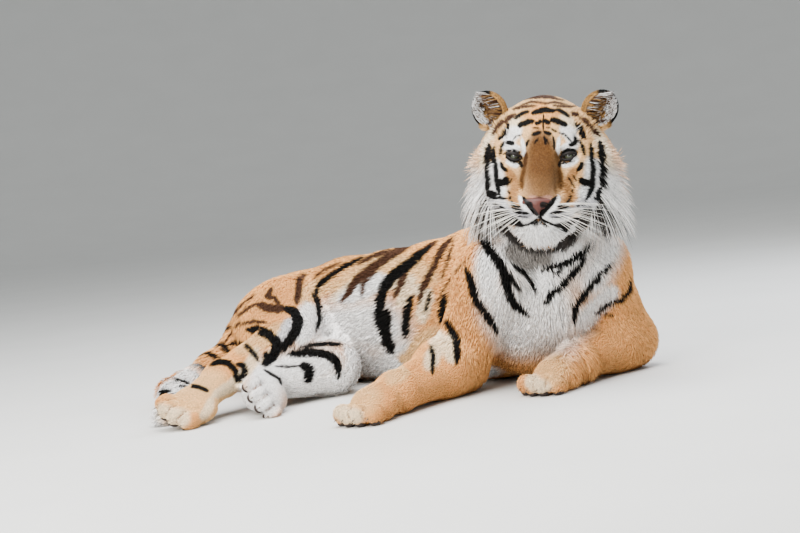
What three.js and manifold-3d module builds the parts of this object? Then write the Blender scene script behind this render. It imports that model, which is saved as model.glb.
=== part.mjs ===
// A life-size Siberian tiger at rest: chest and forelegs on the floor, head raised and looking
// ahead, hindquarters rolled onto the left hip with both hind legs out to the right.
// Millimetres, +Z up, floor at z = 0. +X runs to the animal's left, -Y is the way it looks.
// Flesh is described by distance fields (tapered limbs and ellipsoids blended together), turned
// into closed surfaces, and parted into named pieces by thin plane cuts.
import * as THREE from "three";
import { mergeVertices } from "three/addons/utils/BufferGeometryUtils.js";
import Module from "manifold-3d";

const wasm = await Module();
wasm.setup();

// ---------------------------------------------------------------- driving sizes, mm
const GAP = 0.3; // clear space between two pieces that touch
const WELD = 1e-4; // vertices this near are one
const WORLD = 4000; // larger than anything that is cut
const EYE_HEIGHT = 560; // mid-eye point above the floor
const HEAD_ROLL = 5.5; // degrees, crown towards the animal's left
const HEAD_YAW = -5; // degrees, nose towards its right
const HEAD_PITCH = 2; // degrees, nose down
const BODY_CELL = 56; // facet sizes
const LIMB_CELL = 35;
const PAW_CELL = 19;
const TAIL_CELL = 39;
const EAR_CELL = 13;
const NOSE_CELL = 7;
const HEAD_CELL = 16.3; // over the face, and twice that behind it
const EYE_SPACING = 63; // from the middle of the face
const EYE_RADIUS = 17;
const LID = { halfWidth: 20, thick: 3.4, upper: 9.5, lower: -8 };
const TOE_SPREAD = 29; // between toes
const MARGIN = { trunk: 170, thigh: 160, leg: 110, paw: 130, tail: 80 }; // round the named stations
const HEADING = 23.6; // degrees that the chest is turned to the animal's left
const CONTACT = 5; // clear space where one limb presses on another
const RUFF = {
  rows: 2, // one behind another, back from the cheek
  perRow: 9, // from under the ear round to the jaw
  from: 30, // degrees above the horizontal
  to: -74, // degrees, under the jaw
  length: [50, 104], // at the top of the cheek and at its lower corner
  halfWidth: 24,
  halfThickness: 8,
};
const BEARD = { locks: 8, spread: 56, length: 46, halfWidth: 18, halfThickness: 8 };

const COLOUR = {
  orange: 0xc98745, pale: 0xdcb98c, white: 0xe9e4da, nose: 0xb4776b, eye: 0x7d7a45, dark: 0x1c1815,
};

// ---------------------------------------------------------------- distance fields
const v3 = (x, y, z) => new THREE.Vector3(x, y, z);

// A limb that tapers from radius ra at a to rb at b, with round ends.
function taper(a, b, ra, rb) {
  const [ax, ay, az] = a;
  const dx = b[0] - ax, dy = b[1] - ay, dz = b[2] - az;
  const length2 = dx * dx + dy * dy + dz * dz;
  return (x, y, z) => {
    const px = x - ax, py = y - ay, pz = z - az;
    const t = Math.min(1, Math.max(0, (px * dx + py * dy + pz * dz) / length2));
    return Math.hypot(px - t * dx, py - t * dy, pz - t * dz) - (ra + (rb - ra) * t);
  };
}

// An ellipsoid about centre c with half sizes r, turned by Euler angles in degrees.
function ellipsoid(c, r, turn = [0, 0, 0]) {
  const q = new THREE.Quaternion().setFromEuler(
    new THREE.Euler(...turn.map(THREE.MathUtils.degToRad)),
  );
  const m = new THREE.Matrix4().makeRotationFromQuaternion(q.invert()).elements;
  const [rx, ry, rz] = r;
  return (x, y, z) => {
    const px = x - c[0], py = y - c[1], pz = z - c[2];
    const lx = (m[0] * px + m[4] * py + m[8] * pz) / rx;
    const ly = (m[1] * px + m[5] * py + m[9] * pz) / ry;
    const lz = (m[2] * px + m[6] * py + m[10] * pz) / rz;
    const k0 = Math.hypot(lx, ly, lz);
    const k1 = Math.hypot(lx / rx, ly / ry, lz / rz);
    return k1 > 0 ? (k0 * (k0 - 1)) / k1 : -Math.min(rx, ry, rz);
  };
}

// A chain of tapers through stations [x, y, z, radius].
function chain(stations, k) {
  const links = stations.slice(1).map((s, i) => {
    const p = stations[i];
    return taper(p.slice(0, 3), s.slice(0, 3), p[3], s[3]);
  });
  return blend(k, ...links);
}

// Union whose seams are filled with a fillet about k wide.
function blend(k, ...fields) {
  return (x, y, z) => {
    let d = fields[0](x, y, z);
    for (let i = 1; i < fields.length; i++) {
      const e = fields[i](x, y, z);
      const h = Math.max(k - Math.abs(d - e), 0) / k;
      d = Math.min(d, e) - (h * h * k) / 4;
    }
    return d;
  };
}

// field with tool taken out, its rim rounded by k.
function carve(k, field, tool) {
  return (x, y, z) => {
    const d = field(x, y, z), e = -tool(x, y, z);
    const h = Math.max(k - Math.abs(d - e), 0) / k;
    return Math.max(d, e) + (h * h * k) / 4;
  };
}

// A field given for the +x side, present on both sides of x = 0.
const bothSides = (field) => (x, y, z) => field(Math.abs(x), y, z);

// ---------------------------------------------------------------- surfaces
const steps = (low, high, size) => {
  const n = Math.max(2, Math.round((high - low) / size));
  return Array.from({ length: n + 1 }, (_, i) => low + ((high - low) * i) / n);
};

const FAR = 1e4; // the value given to the grid's outermost points
const JUST_IN = -0.1; // the value given to a grid point that is moved inside

// A grid face whose inside corners lie across a diagonal would pinch the surface to an edge shared
// by four facets, so its nearer outside corner is taken inside.
function settle(value, [nx, ny, nz]) {
  const spans = [[1, nx], [1, nx * ny], [nx, nx * ny]];
  for (let changed = true; changed; ) {
    changed = false;
    for (let n = 0; n + 1 + nx + nx * ny < value.length; n++)
      for (const [u, v] of spans) {
        const face = [n, n + u, n + u + v, n + v];
        const inside = face.map((m) => value[m] < 0);
        if (inside[0] !== inside[2] || inside[1] !== inside[3] || inside[0] === inside[1]) continue;
        const outer = inside[0] ? [face[1], face[3]] : [face[0], face[2]];
        value[value[outer[0]] < value[outer[1]] ? outer[0] : outer[1]] = JUST_IN;
        changed = true;
      }
  }
}

// A grid of lines xs, ys, zs: the number of a grid point, and every cell or point in turn.
function gridOf(xs, ys, zs) {
  const size = [xs.length, ys.length, zs.length];
  const at = (i, j, k) => i + size[0] * (j + size[1] * k);
  const each = (short, visit) => {
    for (let k = 0; k < size[2] - short; k++)
      for (let j = 0; j < size[1] - short; j++)
        for (let i = 0; i < size[0] - short; i++) visit(i, j, k);
  };
  const outermost = (i, j, k) => [i, j, k].some((e, n) => e === 0 || e === size[n] - 1);
  return { xs, ys, zs, size, at, each, outermost };
}

// The place in a cell where the surface crosses its edges, on average, or null.
function crossing(value, { xs, ys, zs, at }, i, j, k) {
  const corner = (c) => [c & 1, (c >> 1) & 1, (c >> 2) & 1];
  const sum = [0, 0, 0];
  let count = 0;
  for (let c = 0; c < 8; c++)
    for (const bit of [1, 2, 4]) {
      if (c & bit) continue;
      const [a, b] = [corner(c), corner(c | bit)];
      const va = value[at(i + a[0], j + a[1], k + a[2])];
      const vb = value[at(i + b[0], j + b[1], k + b[2])];
      if (va < 0 === vb < 0) continue;
      const t = va / (va - vb);
      sum[0] += xs[i + a[0]] + t * (xs[i + b[0]] - xs[i + a[0]]);
      sum[1] += ys[j + a[1]] + t * (ys[j + b[1]] - ys[j + a[1]]);
      sum[2] += zs[k + a[2]] + t * (zs[k + b[2]] - zs[k + a[2]]);
      count++;
    }
  return count ? sum.map((e) => e / count) : null;
}

// Two triangles over four points, split along the shorter diagonal.
function splitQuad(points, ring) {
  const far = (m, n) =>
    [0, 1, 2].reduce((s, e) => s + (points[3 * ring[m] + e] - points[3 * ring[n] + e]) ** 2, 0);
  const [a, b, c, d] = ring;
  return far(0, 2) < far(1, 3) ? [a, b, c, a, c, d] : [b, c, d, b, d, a];
}

// The zero level of a field on a grid of lines: one vertex in each cell that the surface crosses,
// drawn onto the surface, and one quad round each grid edge that it crosses.
function surface(field, xs, ys, zs) {
  const grid = gridOf(xs, ys, zs);
  const { at } = grid;
  const value = new Float32Array(xs.length * ys.length * zs.length);
  grid.each(0, (i, j, k) => {
    value[at(i, j, k)] = grid.outermost(i, j, k) ? FAR : field(xs[i], ys[j], zs[k]);
  });
  settle(value, grid.size);
  const vertexOf = new Map(), points = [], triangles = [];
  grid.each(1, (i, j, k) => {
    const point = crossing(value, grid, i, j, k);
    if (!point) return;
    vertexOf.set(at(i, j, k), points.length / 3);
    points.push(...onto(field, point, [xs[i], ys[j], zs[k]], [xs[i + 1], ys[j + 1], zs[k + 1]]));
  });
  const quad = (inside, ...cells) => {
    const ring = cells.map((key) => vertexOf.get(key));
    if (!inside) ring.reverse();
    triangles.push(...splitQuad(points, ring));
  };
  grid.each(1, (i, j, k) => {
    const here = value[at(i, j, k)] < 0;
    if (j && k && here !== value[at(i + 1, j, k)] < 0)
      quad(here, at(i, j - 1, k - 1), at(i, j, k - 1), at(i, j, k), at(i, j - 1, k));
    if (i && k && here !== value[at(i, j + 1, k)] < 0)
      quad(here, at(i - 1, j, k - 1), at(i - 1, j, k), at(i, j, k), at(i, j, k - 1));
    if (i && j && here !== value[at(i, j, k + 1)] < 0)
      quad(here, at(i - 1, j - 1, k), at(i, j - 1, k), at(i, j, k), at(i - 1, j, k));
  });
  return solidOf(points, triangles);
}

// A point drawn along the field's slope onto its surface, kept inside its own cell.
function onto(field, point, low, high) {
  const e = 0.5; // the step over which the slope is taken
  const inset = 0.08; // share of the cell kept clear at its faces
  const keep = (w, a, b) => Math.min(b - inset * (b - a), Math.max(a + inset * (b - a), w));
  let [x, y, z] = point;
  for (let n = 0; n < 3; n++) {
    const d = field(x, y, z);
    const gx = field(x + e, y, z) - d, gy = field(x, y + e, z) - d, gz = field(x, y, z + e) - d;
    const g2 = (gx * gx + gy * gy + gz * gz) / (e * e);
    if (g2 < 1e-6) break;
    const step = d / g2 / e;
    x = keep(x - gx * step, low[0], high[0]);
    y = keep(y - gy * step, low[1], high[1]);
    z = keep(z - gz * step, low[2], high[2]);
  }
  return [x, y, z];
}

function solidOf(points, triangles) {
  return new wasm.Manifold(
    new wasm.Mesh({
      numProp: 3,
      vertProperties: new Float32Array(points),
      triVerts: new Uint32Array(triangles),
    }),
  );
}

function solidOfGeometry(geometry, matrix) {
  const g = geometry.clone();
  g.deleteAttribute("normal");
  g.deleteAttribute("uv");
  if (matrix) g.applyMatrix4(matrix);
  const merged = mergeVertices(g, WELD);
  return solidOf(merged.attributes.position.array, merged.index.array);
}

// The points of one ring of a strand, or its single point where its size is 0.
function ringPoints(centre, wide, thick, [w, h], sides) {
  if (w <= 0) return [centre];
  return Array.from({ length: sides }, (_, s) => {
    const a = (2 * Math.PI * s) / sides;
    return centre.clone().addScaledVector(wide, w * Math.cos(a)).addScaledVector(thick, h * Math.sin(a));
  });
}

// The triangles between two rings of point numbers, either of which may be a single point.
function bandBetween(a, b, sides) {
  const triangles = [];
  for (let s = 0; s < sides; s++) {
    const n = (s + 1) % sides;
    if (a.length === 1) triangles.push(a[0], b[n], b[s]);
    else if (b.length === 1) triangles.push(a[s], a[n], b[0]);
    else triangles.push(a[s], a[n], b[n], a[s], b[n], b[s]);
  }
  return triangles;
}

// A closed round or flat strand along a curve: size(t) gives its half width and half thickness, and
// `flat` the direction that its width keeps to. An end whose size is 0 is a point.
function strand(points, size, { sides = 6, rings = 6, flat = v3(0, 0, 1) } = {}) {
  const curve = new THREE.CatmullRomCurve3(points.map((p) => v3(...p)), false, "centripetal");
  const verts = [], rows = [], triangles = [];
  for (let r = 0; r <= rings; r++) {
    const t = r / rings;
    const centre = curve.getPointAt(t), along = curve.getTangentAt(t);
    const thick = v3().crossVectors(along, flat).normalize();
    const wide = v3().crossVectors(thick, along).normalize();
    const ring = ringPoints(centre, wide, thick, size(t), sides);
    rows.push(ring.map((_, s) => verts.length / 3 + s));
    for (const p of ring) verts.push(p.x, p.y, p.z);
  }
  for (let r = 0; r < rings; r++) triangles.push(...bandBetween(rows[r], rows[r + 1], sides));
  for (const [row, first] of [[rows[0], true], [rows[rings], false]])
    for (let s = 1; s + 1 < row.length; s++)
      triangles.push(row[0], ...(first ? [row[s + 1], row[s]] : [row[s], row[s + 1]]));
  const made = solidOf(verts, triangles);
  return made.volume() < 0 ? solidOf(verts, triangles.reverse()) : made;
}

// ---------------------------------------------------------------- cutting
// Everything on the far side of the plane through point, on the side that normal points to.
function halfSpace(point, normal, offset = 0) {
  const n = v3(...normal).normalize();
  const m = new THREE.Matrix4()
    .makeRotationFromQuaternion(new THREE.Quaternion().setFromUnitVectors(v3(0, 0, 1), n))
    .setPosition(v3(...point).addScaledVector(n, WORLD / 2 + offset));
  return solidOfGeometry(new THREE.BoxGeometry(WORLD, WORLD, WORLD), m);
}

const FLOOR = halfSpace([0, 0, 0], [0, 0, 1]);

// piece with everything taken off that comes within the gap of its neighbour.
function clearOf(piece, neighbour) {
  const moves = [[0, 0, 0]];
  for (const x of [-1, 1]) for (const y of [-1, 1]) for (const z of [-1, 1]) moves.push([x, y, z]);
  const reach = GAP * 0.8;
  return moves.reduce((s, m) => s.subtract(neighbour.translate(m.map((e) => e * reach))), piece);
}

// Only the largest closed surface of a solid.
function largest(solid) {
  return solid.decompose().reduce((a, b) => (b.volume() > a.volume() ? b : a));
}

// The part of a solid inside a box turned about z, and the rest, parted by the gap.
function partBox(solid, centre, size, turn = 0) {
  const m = new THREE.Matrix4().makeRotationZ(THREE.MathUtils.degToRad(turn));
  m.setPosition(v3(...centre));
  const box = (grow) =>
    solidOfGeometry(new THREE.BoxGeometry(...size.map((s) => s + grow)), m);
  return [solid.intersect(box(-GAP)), solid.subtract(box(GAP))];
}

// ---------------------------------------------------------------- where the body lies
// Stations are [x, y, z, radius]. The trunk bends: the chest faces ahead, the hips lie to one side.
const BACK = [
  [-80, 400, 328, 104],
  [-195, 515, 270, 97],
  [-300, 605, 243, 96],
  [-420, 690, 228, 95],
  [-540, 755, 216, 95],
  [-680, 800, 182, 94],
  [-800, 805, 134, 82],
];
const BELLY = [
  [-25, 265, 205, 128],
  [-70, 360, 182, 158],
  [-165, 470, 172, 164],
  [-290, 580, 160, 156],
  [-420, 670, 150, 148],
  [-550, 740, 142, 142],
  [-680, 785, 130, 132],
  [-790, 790, 105, 104],
];
const NECK = [
  [-75, 375, 320, 128],
  [-30, 250, 400, 120],
  [5, 150, 480, 108],
  [12, 110, 530, 90],
];
const WITHERS = [-60, 400, 360];
const SHOULDER = { right: [-148, 170, 280], left: [98, 275, 275] };
const ELBOW = { right: [-250, 225, 74], left: [168, 395, 74] };
const WRIST = { right: [-388, -45, 50], left: [34, 172, 52] };
const FORE_PAW = {
  right: { at: [-440, -140, 0], ahead: [-0.477, -0.879, 0], roll: 0 },
  left: { at: [-20, 84, 0], ahead: [-0.538, -0.843, 0], roll: 0 },
};
const HIP = { right: [-705, 690, 186], left: [-700, 700, 75] };
const KNEE = { right: [-697, 395, 122], left: [-580, 425, 72] };
const HOCK = { right: [-833, 230, 92], left: [-735, 262, 70] };
const HIND_PAW = {
  right: { at: [-900, 100, 0], ahead: [-0.55, -0.83, 0], roll: 30 },
  left: { at: [-742, 178, 0], ahead: [-0.1, -0.99, 0], roll: 60 },
};
const THIGH_RADIUS = { right: [116, 74], left: [84, 62] };
const TAIL = [
  [-840, 770, 112, 66],
  [-930, 705, 66, 50],
  [-995, 610, 39, 42],
  [-1010, 490, 37, 41],
  [-985, 375, 37, 41],
  [-950, 285, 37, 40],
  [-952, 200, 33, 37],
  [-978, 140, 25, 28],
];

const xyz = (station) => station.slice(0, 3);
const plus = (a, b) => a.map((e, i) => e + b[i]);
const less = (a, b) => a.map((e, i) => e - b[i]);
const mix = (a, b, t) => a.map((e, i) => e + (b[i] - e) * t);
const unit = (a) => a.map((e) => e / Math.hypot(...a));
const rad = THREE.MathUtils.degToRad;

// The upper arm with its elbow, and as much of the forearm as `reach` says.
const upperArm = (side, reach) => {
  const [shoulder, elbow, wrist] = [SHOULDER[side], ELBOW[side], WRIST[side]];
  return blend(
    46,
    taper(mix(WITHERS, shoulder, 0.5), shoulder, 72, 80),
    taper(shoulder, elbow, 80, 66),
    taper(elbow, mix(elbow, wrist, reach), 70, 70 - 22 * reach),
    ellipsoid(plus(mix(elbow, wrist, 0.26), [0, 0, 6]), [68, 68, 68]),
  );
};

const thigh = (side, reach) => {
  const [hip, knee] = [HIP[side], mix(HIP[side], KNEE[side], reach)];
  const [top, end] = THIGH_RADIUS[side];
  const low = top + (end - top) * reach;
  const buttock = plus(mix(hip, KNEE[side], 0.1), [-70, 20, -12]);
  return blend(60, taper(hip, knee, top, low), taper(buttock, mix(hip, knee, 0.85), top * 0.8, low * 0.8));
};

const bodyField = (() => {
  const trunk = blend(84, chain(BACK, 50), chain(BELLY, 50));
  const arms = ["right", "left"].map((side) => upperArm(side, 0.36));
  const thighs = ["right", "left"].map((side) => thigh(side, 0.62));
  return blend(50, trunk, chain(NECK, 60), ...arms, ...thighs, chain(TAIL.slice(0, 3), 20));
})();

// ---------------------------------------------------------------- legs
// A field given in its own frame, placed by a matrix.
function placed(field, matrix) {
  const e = matrix.clone().invert().elements;
  return (x, y, z) =>
    field(
      e[0] * x + e[4] * y + e[8] * z + e[12],
      e[1] * x + e[5] * y + e[9] * z + e[13],
      e[2] * x + e[6] * y + e[10] * z + e[14],
    );
}

// A paw in its own frame: ahead is -y, the animal's left +x, the sole at z = 0.
function pawField({ at, ahead, roll }) {
  const toes = [-1.5, -0.5, 0.5, 1.5].map((i) =>
    ellipsoid([i * TOE_SPREAD, Math.abs(i) < 1 ? -70 : -54, 26], [19, 36, 25], [-10, 0, 0]),
  );
  const instep = ellipsoid([0, 5, 32], [52, 58, 34]);
  const pad = ellipsoid([0, -10, 15], [42, 45, 16]);
  const paw = blend(10, blend(20, instep, pad), ...toes);
  const y = v3(...ahead).negate().normalize();
  const x = v3().crossVectors(y, v3(0, 0, 1));
  const frame = new THREE.Matrix4().makeBasis(x, y, v3(0, 0, 1));
  frame.multiply(new THREE.Matrix4().makeRotationY(rad(roll)));
  const lift = Math.sin(rad(Math.abs(roll))) * 38; // a rolled paw lies on its edge
  return placed(paw, frame.setPosition(v3(...at).add(v3(0, 0, lift))));
}

const foreleg = (side) => {
  const [x, y] = FORE_PAW[side].at;
  return blend(
    24,
    upperArm(side, 1),
    taper(WRIST[side], [x, y, 40], 48, 42),
    pawField(FORE_PAW[side]),
  );
};

const hindleg = (side) => {
  const [knee, hock] = [KNEE[side], HOCK[side]];
  const [x, y] = HIND_PAW[side].at;
  const heel = plus(hock, less(hock, knee).map((e) => e * 0.08));
  const lift = 36 + Math.sin(rad(HIND_PAW[side].roll)) * 16;
  return blend(
    22,
    blend(
      34,
      thigh(side, 1),
      taper(knee, hock, THIGH_RADIUS[side][1], 42),
      taper(mix(knee, hock, 0.1), mix(knee, hock, 0.6), THIGH_RADIUS[side][1], 50),
    ),
    taper(heel, hock, 36, 42),
    taper(hock, [x, y, lift], 42, 42),
    pawField(HIND_PAW[side]),
  );
};

// The part of a solid between two cuts [point, normal]: past the first and short of the second.
function between(solid, start, end) {
  const from = start ? solid.intersect(halfSpace(...start, GAP / 2)) : solid;
  return end ? from.intersect(halfSpace(end[0], less([0, 0, 0], end[1]), GAP / 2)) : from;
}

// ---------------------------------------------------------------- head
// In the head's own frame the middle between the eyes is the origin, -y is ahead, +x its left.
const MUZZLE_PAD = [34, -80, -120];
const CHIN = [0, -58, -168];

const faceField = (() => {
  const skull = ellipsoid([0, 108, 20], [98, 112, 114]);
  const mane = ellipsoid([0, 122, 8], [150, 92, 112]);
  const forehead = taper([0, 34, 14], [0, 92, 62], 44, 66);
  const brow = bothSides(ellipsoid([48, 14, 20], [32, 26, 17], [0, 0, 20]));
  const bridge = taper([0, 28, -4], [0, -90, -84], 41, 34);
  const pads = bothSides(ellipsoid(MUZZLE_PAD, [43, 46, 37]));
  const lip = bothSides(taper([34, -66, -128], [74, 10, -112], 34, 46));
  const chin = ellipsoid(CHIN, [40, 42, 32]);
  const jaw = bothSides(taper([22, -40, -160], [64, 70, -120], 34, 50));
  const cheek = bothSides(ellipsoid([84, 68, -52], [58, 76, 86]));
  const cheekbone = bothSides(taper([70, 18, -34], [112, 90, -10], 26, 36));
  const ruff = bothSides(ellipsoid([112, 114, -72], [54, 56, 98], [0, 0, 20]));
  const throat = taper([0, 10, -110], [0, 150, -110], 78, 104);
  const head = blend(
    24,
    blend(40, skull, mane, throat, cheek, ruff, jaw),
    blend(26, forehead, brow, cheekbone),
    blend(20, bridge, pads, lip, chin),
  );
  const socket = bothSides(ellipsoid([EYE_SPACING - 1, -12, -1], [22, 20, 13], [0, 0, 24]));
  return carve(14, head, socket);
})();

// The cut between head and neck, as a point and a normal.
const NAPE = [[6, 150, 478], [0.12, -0.76, 0.64]];

// The depth y at which the face is met from straight ahead.
function faceAt(x, z) {
  let y = -220;
  for (let n = 0; n < 80; n++) {
    const d = faceField(x, y, z);
    if (d < 0.05) break;
    y += d * 0.7;
  }
  return y;
}

const EYE = { right: [-EYE_SPACING, EYE_RADIUS - 3, 0], left: [EYE_SPACING, EYE_RADIUS - 3, 0] };
const sphere = (centre, radius, across, down) =>
  solidOfGeometry(
    new THREE.SphereGeometry(radius, across, down),
    new THREE.Matrix4().makeTranslation(...centre),
  );

// A strand along points [x, z] of the face, half sunk in it.
function onFace(points, width, height) {
  const curve = points.map(([x, z]) => [x, faceAt(x, z), z]);
  return strand(curve, () => [width, height], { rings: 10, flat: v3(0, 1, 0) });
}

const headMatrix = new THREE.Matrix4()
  .makeTranslation(0, 0, EYE_HEIGHT)
  .multiply(new THREE.Matrix4().makeRotationY(rad(HEAD_ROLL)))
  .multiply(new THREE.Matrix4().makeRotationZ(rad(HEAD_YAW)))
  .multiply(new THREE.Matrix4().makeRotationX(rad(HEAD_PITCH)));
const inHead = (solid) => solid.transform(headMatrix.elements);

// One lid: a ridge over the eyeball from the inner corner (t = -1) to the outer (t = 1).
function lid(side, rise) {
  const out = side === "right" ? -1 : 1;
  const { halfWidth, thick } = LID;
  const centre = EYE[side];
  const points = [-1, -0.6, -0.2, 0.2, 0.6, 1].map((t) => {
    const across = out * t * halfWidth;
    const up = rise * (1 - t * t) + t * 3 - 1.5;
    const toEdge = Math.min(0.96, Math.hypot(across, up) / (EYE_RADIUS + 5));
    const ahead = (EYE_RADIUS + 1.5) * Math.sqrt(1 - toEdge * toEdge);
    return [centre[0] + across, centre[1] - ahead + 1, centre[2] + up];
  });
  return strand(points, () => [1.5 * thick, thick], { rings: 8, flat: v3(0, 1, 0) });
}

function buildHead(nose) {
  const coarse = 2.1 * HEAD_CELL;
  const sideOf = steps(87, 205, coarse);
  const across = [
    ...sideOf.map((x) => -x).reverse(),
    ...steps(-87, 87, HEAD_CELL).slice(1, -1),
    ...sideOf,
  ];
  const deep = [...steps(-150, -10, HEAD_CELL), ...steps(-10, 250, coarse).slice(1)];
  const up = [...steps(-232, 43, HEAD_CELL), ...steps(43, 170, coarse).slice(1)];
  const blank = surface(faceField, across, deep, up);
  const mouth = [[-56, -152], [-48, -155], [-34, -151], [-16, -147], [0, -143]];
  const right = mouth.map(([x, z]) => [-x, z]).reverse();
  let solid = blank
    .subtract(onFace([...mouth, ...right.slice(1)], 7, 2.4))
    .subtract(onFace([[0, -126], [0, -134], [0, -143]], 5, 2));
  for (const side of ["right", "left"]) {
    const room = sphere(EYE[side], EYE_RADIUS + GAP * 3, 12, 8);
    const lids = lid(side, LID.upper).add(lid(side, LID.lower));
    solid = solid.add(lids).subtract(room);
  }
  return solid.subtract(nose);
}

// The leather of the nose: a broad top with a wing at each side, and a narrow foot over the lip.
const noseField = (() => {
  const wings = bothSides(ellipsoid([19, -114, -101], [17, 13, 12], [0, 0, 20]));
  const middle = ellipsoid([0, -119, -101], [17, 12, 13]);
  const foot = taper([0, -118, -104], [0, -118, -124], 11, 6);
  return blend(9, wings, middle, foot);
})();

function noseSolid(field) {
  const box = [[-44, 44], [-142, -94], [-138, -80]];
  const lines = box.map(([low, high]) => steps(low, high, NOSE_CELL));
  return surface(field, ...lines);
}

function buildNose() {
  const nostril = bothSides(taper([17, -127, -103], [27, -120, -107], 5.5, 3.5));
  const slit = bothSides(taper([14, -130, -106], [19, -126, -117], 2.6, 1.6));
  return noseSolid(carve(2, carve(3, noseField, nostril), slit));
}

// A cup open ahead and outwards, its root sunk in the head.
function buildEar(side, head) {
  const out = side === "right" ? -1 : 1;
  const shell = blend(14, ellipsoid([0, 0, 42], [43, 21, 48]), ellipsoid([0, 4, 0], [38, 24, 34]));
  const cup = carve(9, shell, ellipsoid([0, -19, 44], [33, 22, 39]));
  const box = [[-52, 52], [-38, 38], [-48, 96]];
  const lines = box.map(([low, high]) => steps(low, high, EAR_CELL));
  const frame = new THREE.Matrix4()
    .makeTranslation(out * 110, 112, 66)
    .multiply(new THREE.Matrix4().makeRotationY(rad(out * 27)))
    .multiply(new THREE.Matrix4().makeRotationZ(rad(out * 14)))
    .multiply(new THREE.Matrix4().makeRotationX(rad(6)));
  return clearOf(surface(cup, ...lines).transform(frame.elements), head);
}

// ---------------------------------------------------------------- ruff
// A seeded source of numbers from 0 to 1.
function seeded(seed) {
  let state = seed;
  return () => {
    state = (state * 1664525 + 1013904223) % 4294967296;
    return state / 4294967296;
  };
}

// A lock of long coat: flat, rooted in the skin at `root`, growing along `along`, bent by `bend`
// as it goes, and ending in a point. Its width lies along `wide`. `room` makes it that much larger
// all round.
function lock(root, along, bend, wide, [length, width, thickness], room = 0) {
  const reaches = [-0.2, 0, 0.35, 0.7, 1].map((t) => t * length + 2 * room * Math.sign(t - 0.1));
  const points = reaches.map((reach) => {
    const sag = Math.max(0, reach) ** 2 / length;
    return root.map((e, i) => e + along[i] * reach + bend[i] * sag);
  });
  const size = (t) =>
    t >= 1 ? [0, 0] : [width * (1 - t ** 2.4) + room, thickness * (1 - 0.8 * t) + room];
  return strand(points, size, { rings: 4, sides: 4, flat: v3(...wide) });
}

// The point where a ray from centre comes out of the face, a little under the surface.
function faceAlong(centre, ray, sink = 3) {
  let reach = 260;
  while (faceField(...plus(centre, ray.map((e) => e * reach))) > 0) reach -= 1.5;
  return plus(centre, ray.map((e) => e * (reach - sink)));
}

function ruffLocks(side, room = 0) {
  const out = side === "right" ? -1 : 1;
  const random = seeded(side === "right" ? 11 : 29);
  const vary = (low, high) => low + (high - low) * random();
  const locks = [];
  for (let row = 0; row < RUFF.rows; row++)
    for (let n = 0; n < RUFF.perRow; n++) {
      const t = (n + vary(0.15, 0.85)) / RUFF.perRow;
      const angle = rad(RUFF.from + (RUFF.to - RUFF.from) * t);
      const ray = [out * Math.cos(angle), 0, Math.sin(angle)];
      const root = faceAlong([out * 66, 74 + row * 42 + vary(-8, 8), -66], ray);
      const peak = Math.exp(-(((t - 0.6) / 0.36) ** 2));
      const [short, long] = RUFF.length;
      const length = (short + (long - short) * peak) * vary(0.88, 1.1) * (0.84 + 0.08 * row);
      const along = unit([ray[0] * 0.7, 0.62 - 0.1 * row, ray[2] * 0.7 - vary(0.2, 0.42)]);
      const bend = [0, 0.06, -vary(0.16, 0.34)];
      const wide = [out * Math.sin(angle), 0.25, -Math.cos(angle)];
      const size = [length, RUFF.halfWidth * vary(0.85, 1.15), RUFF.halfThickness];
      locks.push(lock(root, along, bend, wide, size, room));
    }
  return inHead(wasm.Manifold.union(locks));
}

// Short locks that hang from the chin and under the jaw.
function beardLocks(room = 0) {
  const random = seeded(7);
  const vary = (low, high) => low + (high - low) * random();
  const locks = [];
  for (let n = 0; n < BEARD.locks; n++) {
    const x = ((n + 0.5) / BEARD.locks - 0.5) * 2 * BEARD.spread;
    const depth = (n % 2) * 40 - 20 + Math.abs(x) * 0.5 + vary(-6, 6);
    const along = unit([x / 260, 0.72, -0.6]);
    const size = [BEARD.length * vary(0.8, 1.15), BEARD.halfWidth, BEARD.halfThickness];
    const root = faceAlong([x, depth, -120], [0, 0, -1]);
    locks.push(lock(root, along, [0, -0.05, -0.15], [1, 0, 0], size, room));
  }
  return inHead(wasm.Manifold.union(locks));
}

const ROOM = 2 * GAP;
const RUFF_BOX = { centre: [190, 140, -92], size: [180, 190, 260] };
const nose = buildNose();
let head = buildHead(noseSolid((x, y, z) => noseField(x, y, z) - ROOM));
const ears = { right: buildEar("right", head), left: buildEar("left", head) };

// Each cheek's ruff is boxed off the head and its locks joined to it; what is left of the head
// keeps clear of the locks and carries the beard.
const ruffs = {};
for (const side of ["right", "left"]) {
  const out = side === "right" ? -1 : 1;
  const { centre, size } = RUFF_BOX;
  const [core, rest] = partBox(head, [out * centre[0], centre[1], centre[2]], size);
  [ruffs[side], head] = [between(inHead(core), NAPE), rest];
}
head = between(inHead(head), NAPE).add(beardLocks());
let neckRoom = beardLocks(ROOM);
for (const side of ["right", "left"]) {
  const room = ruffLocks(side, ROOM);
  ruffs[side] = ruffs[side].subtract(beardLocks(ROOM)).add(ruffLocks(side));
  head = head.subtract(room);
  neckRoom = neckRoom.add(room);
}

// The solid of a field over the box round the given points, in cells of one size, cut off at the
// floor.
function fleshOf(field, points, reach, cell) {
  const lines = [0, 1, 2].map((e) => {
    const all = points.map((p) => p[e]);
    return steps(Math.min(...all) - reach, Math.max(...all) + reach, cell);
  });
  return surface(field, ...lines).intersect(FLOOR);
}

const parts = [];
const add = (name, solid, colour = "orange") => parts.push({ name, solid: largest(solid), colour });

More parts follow.
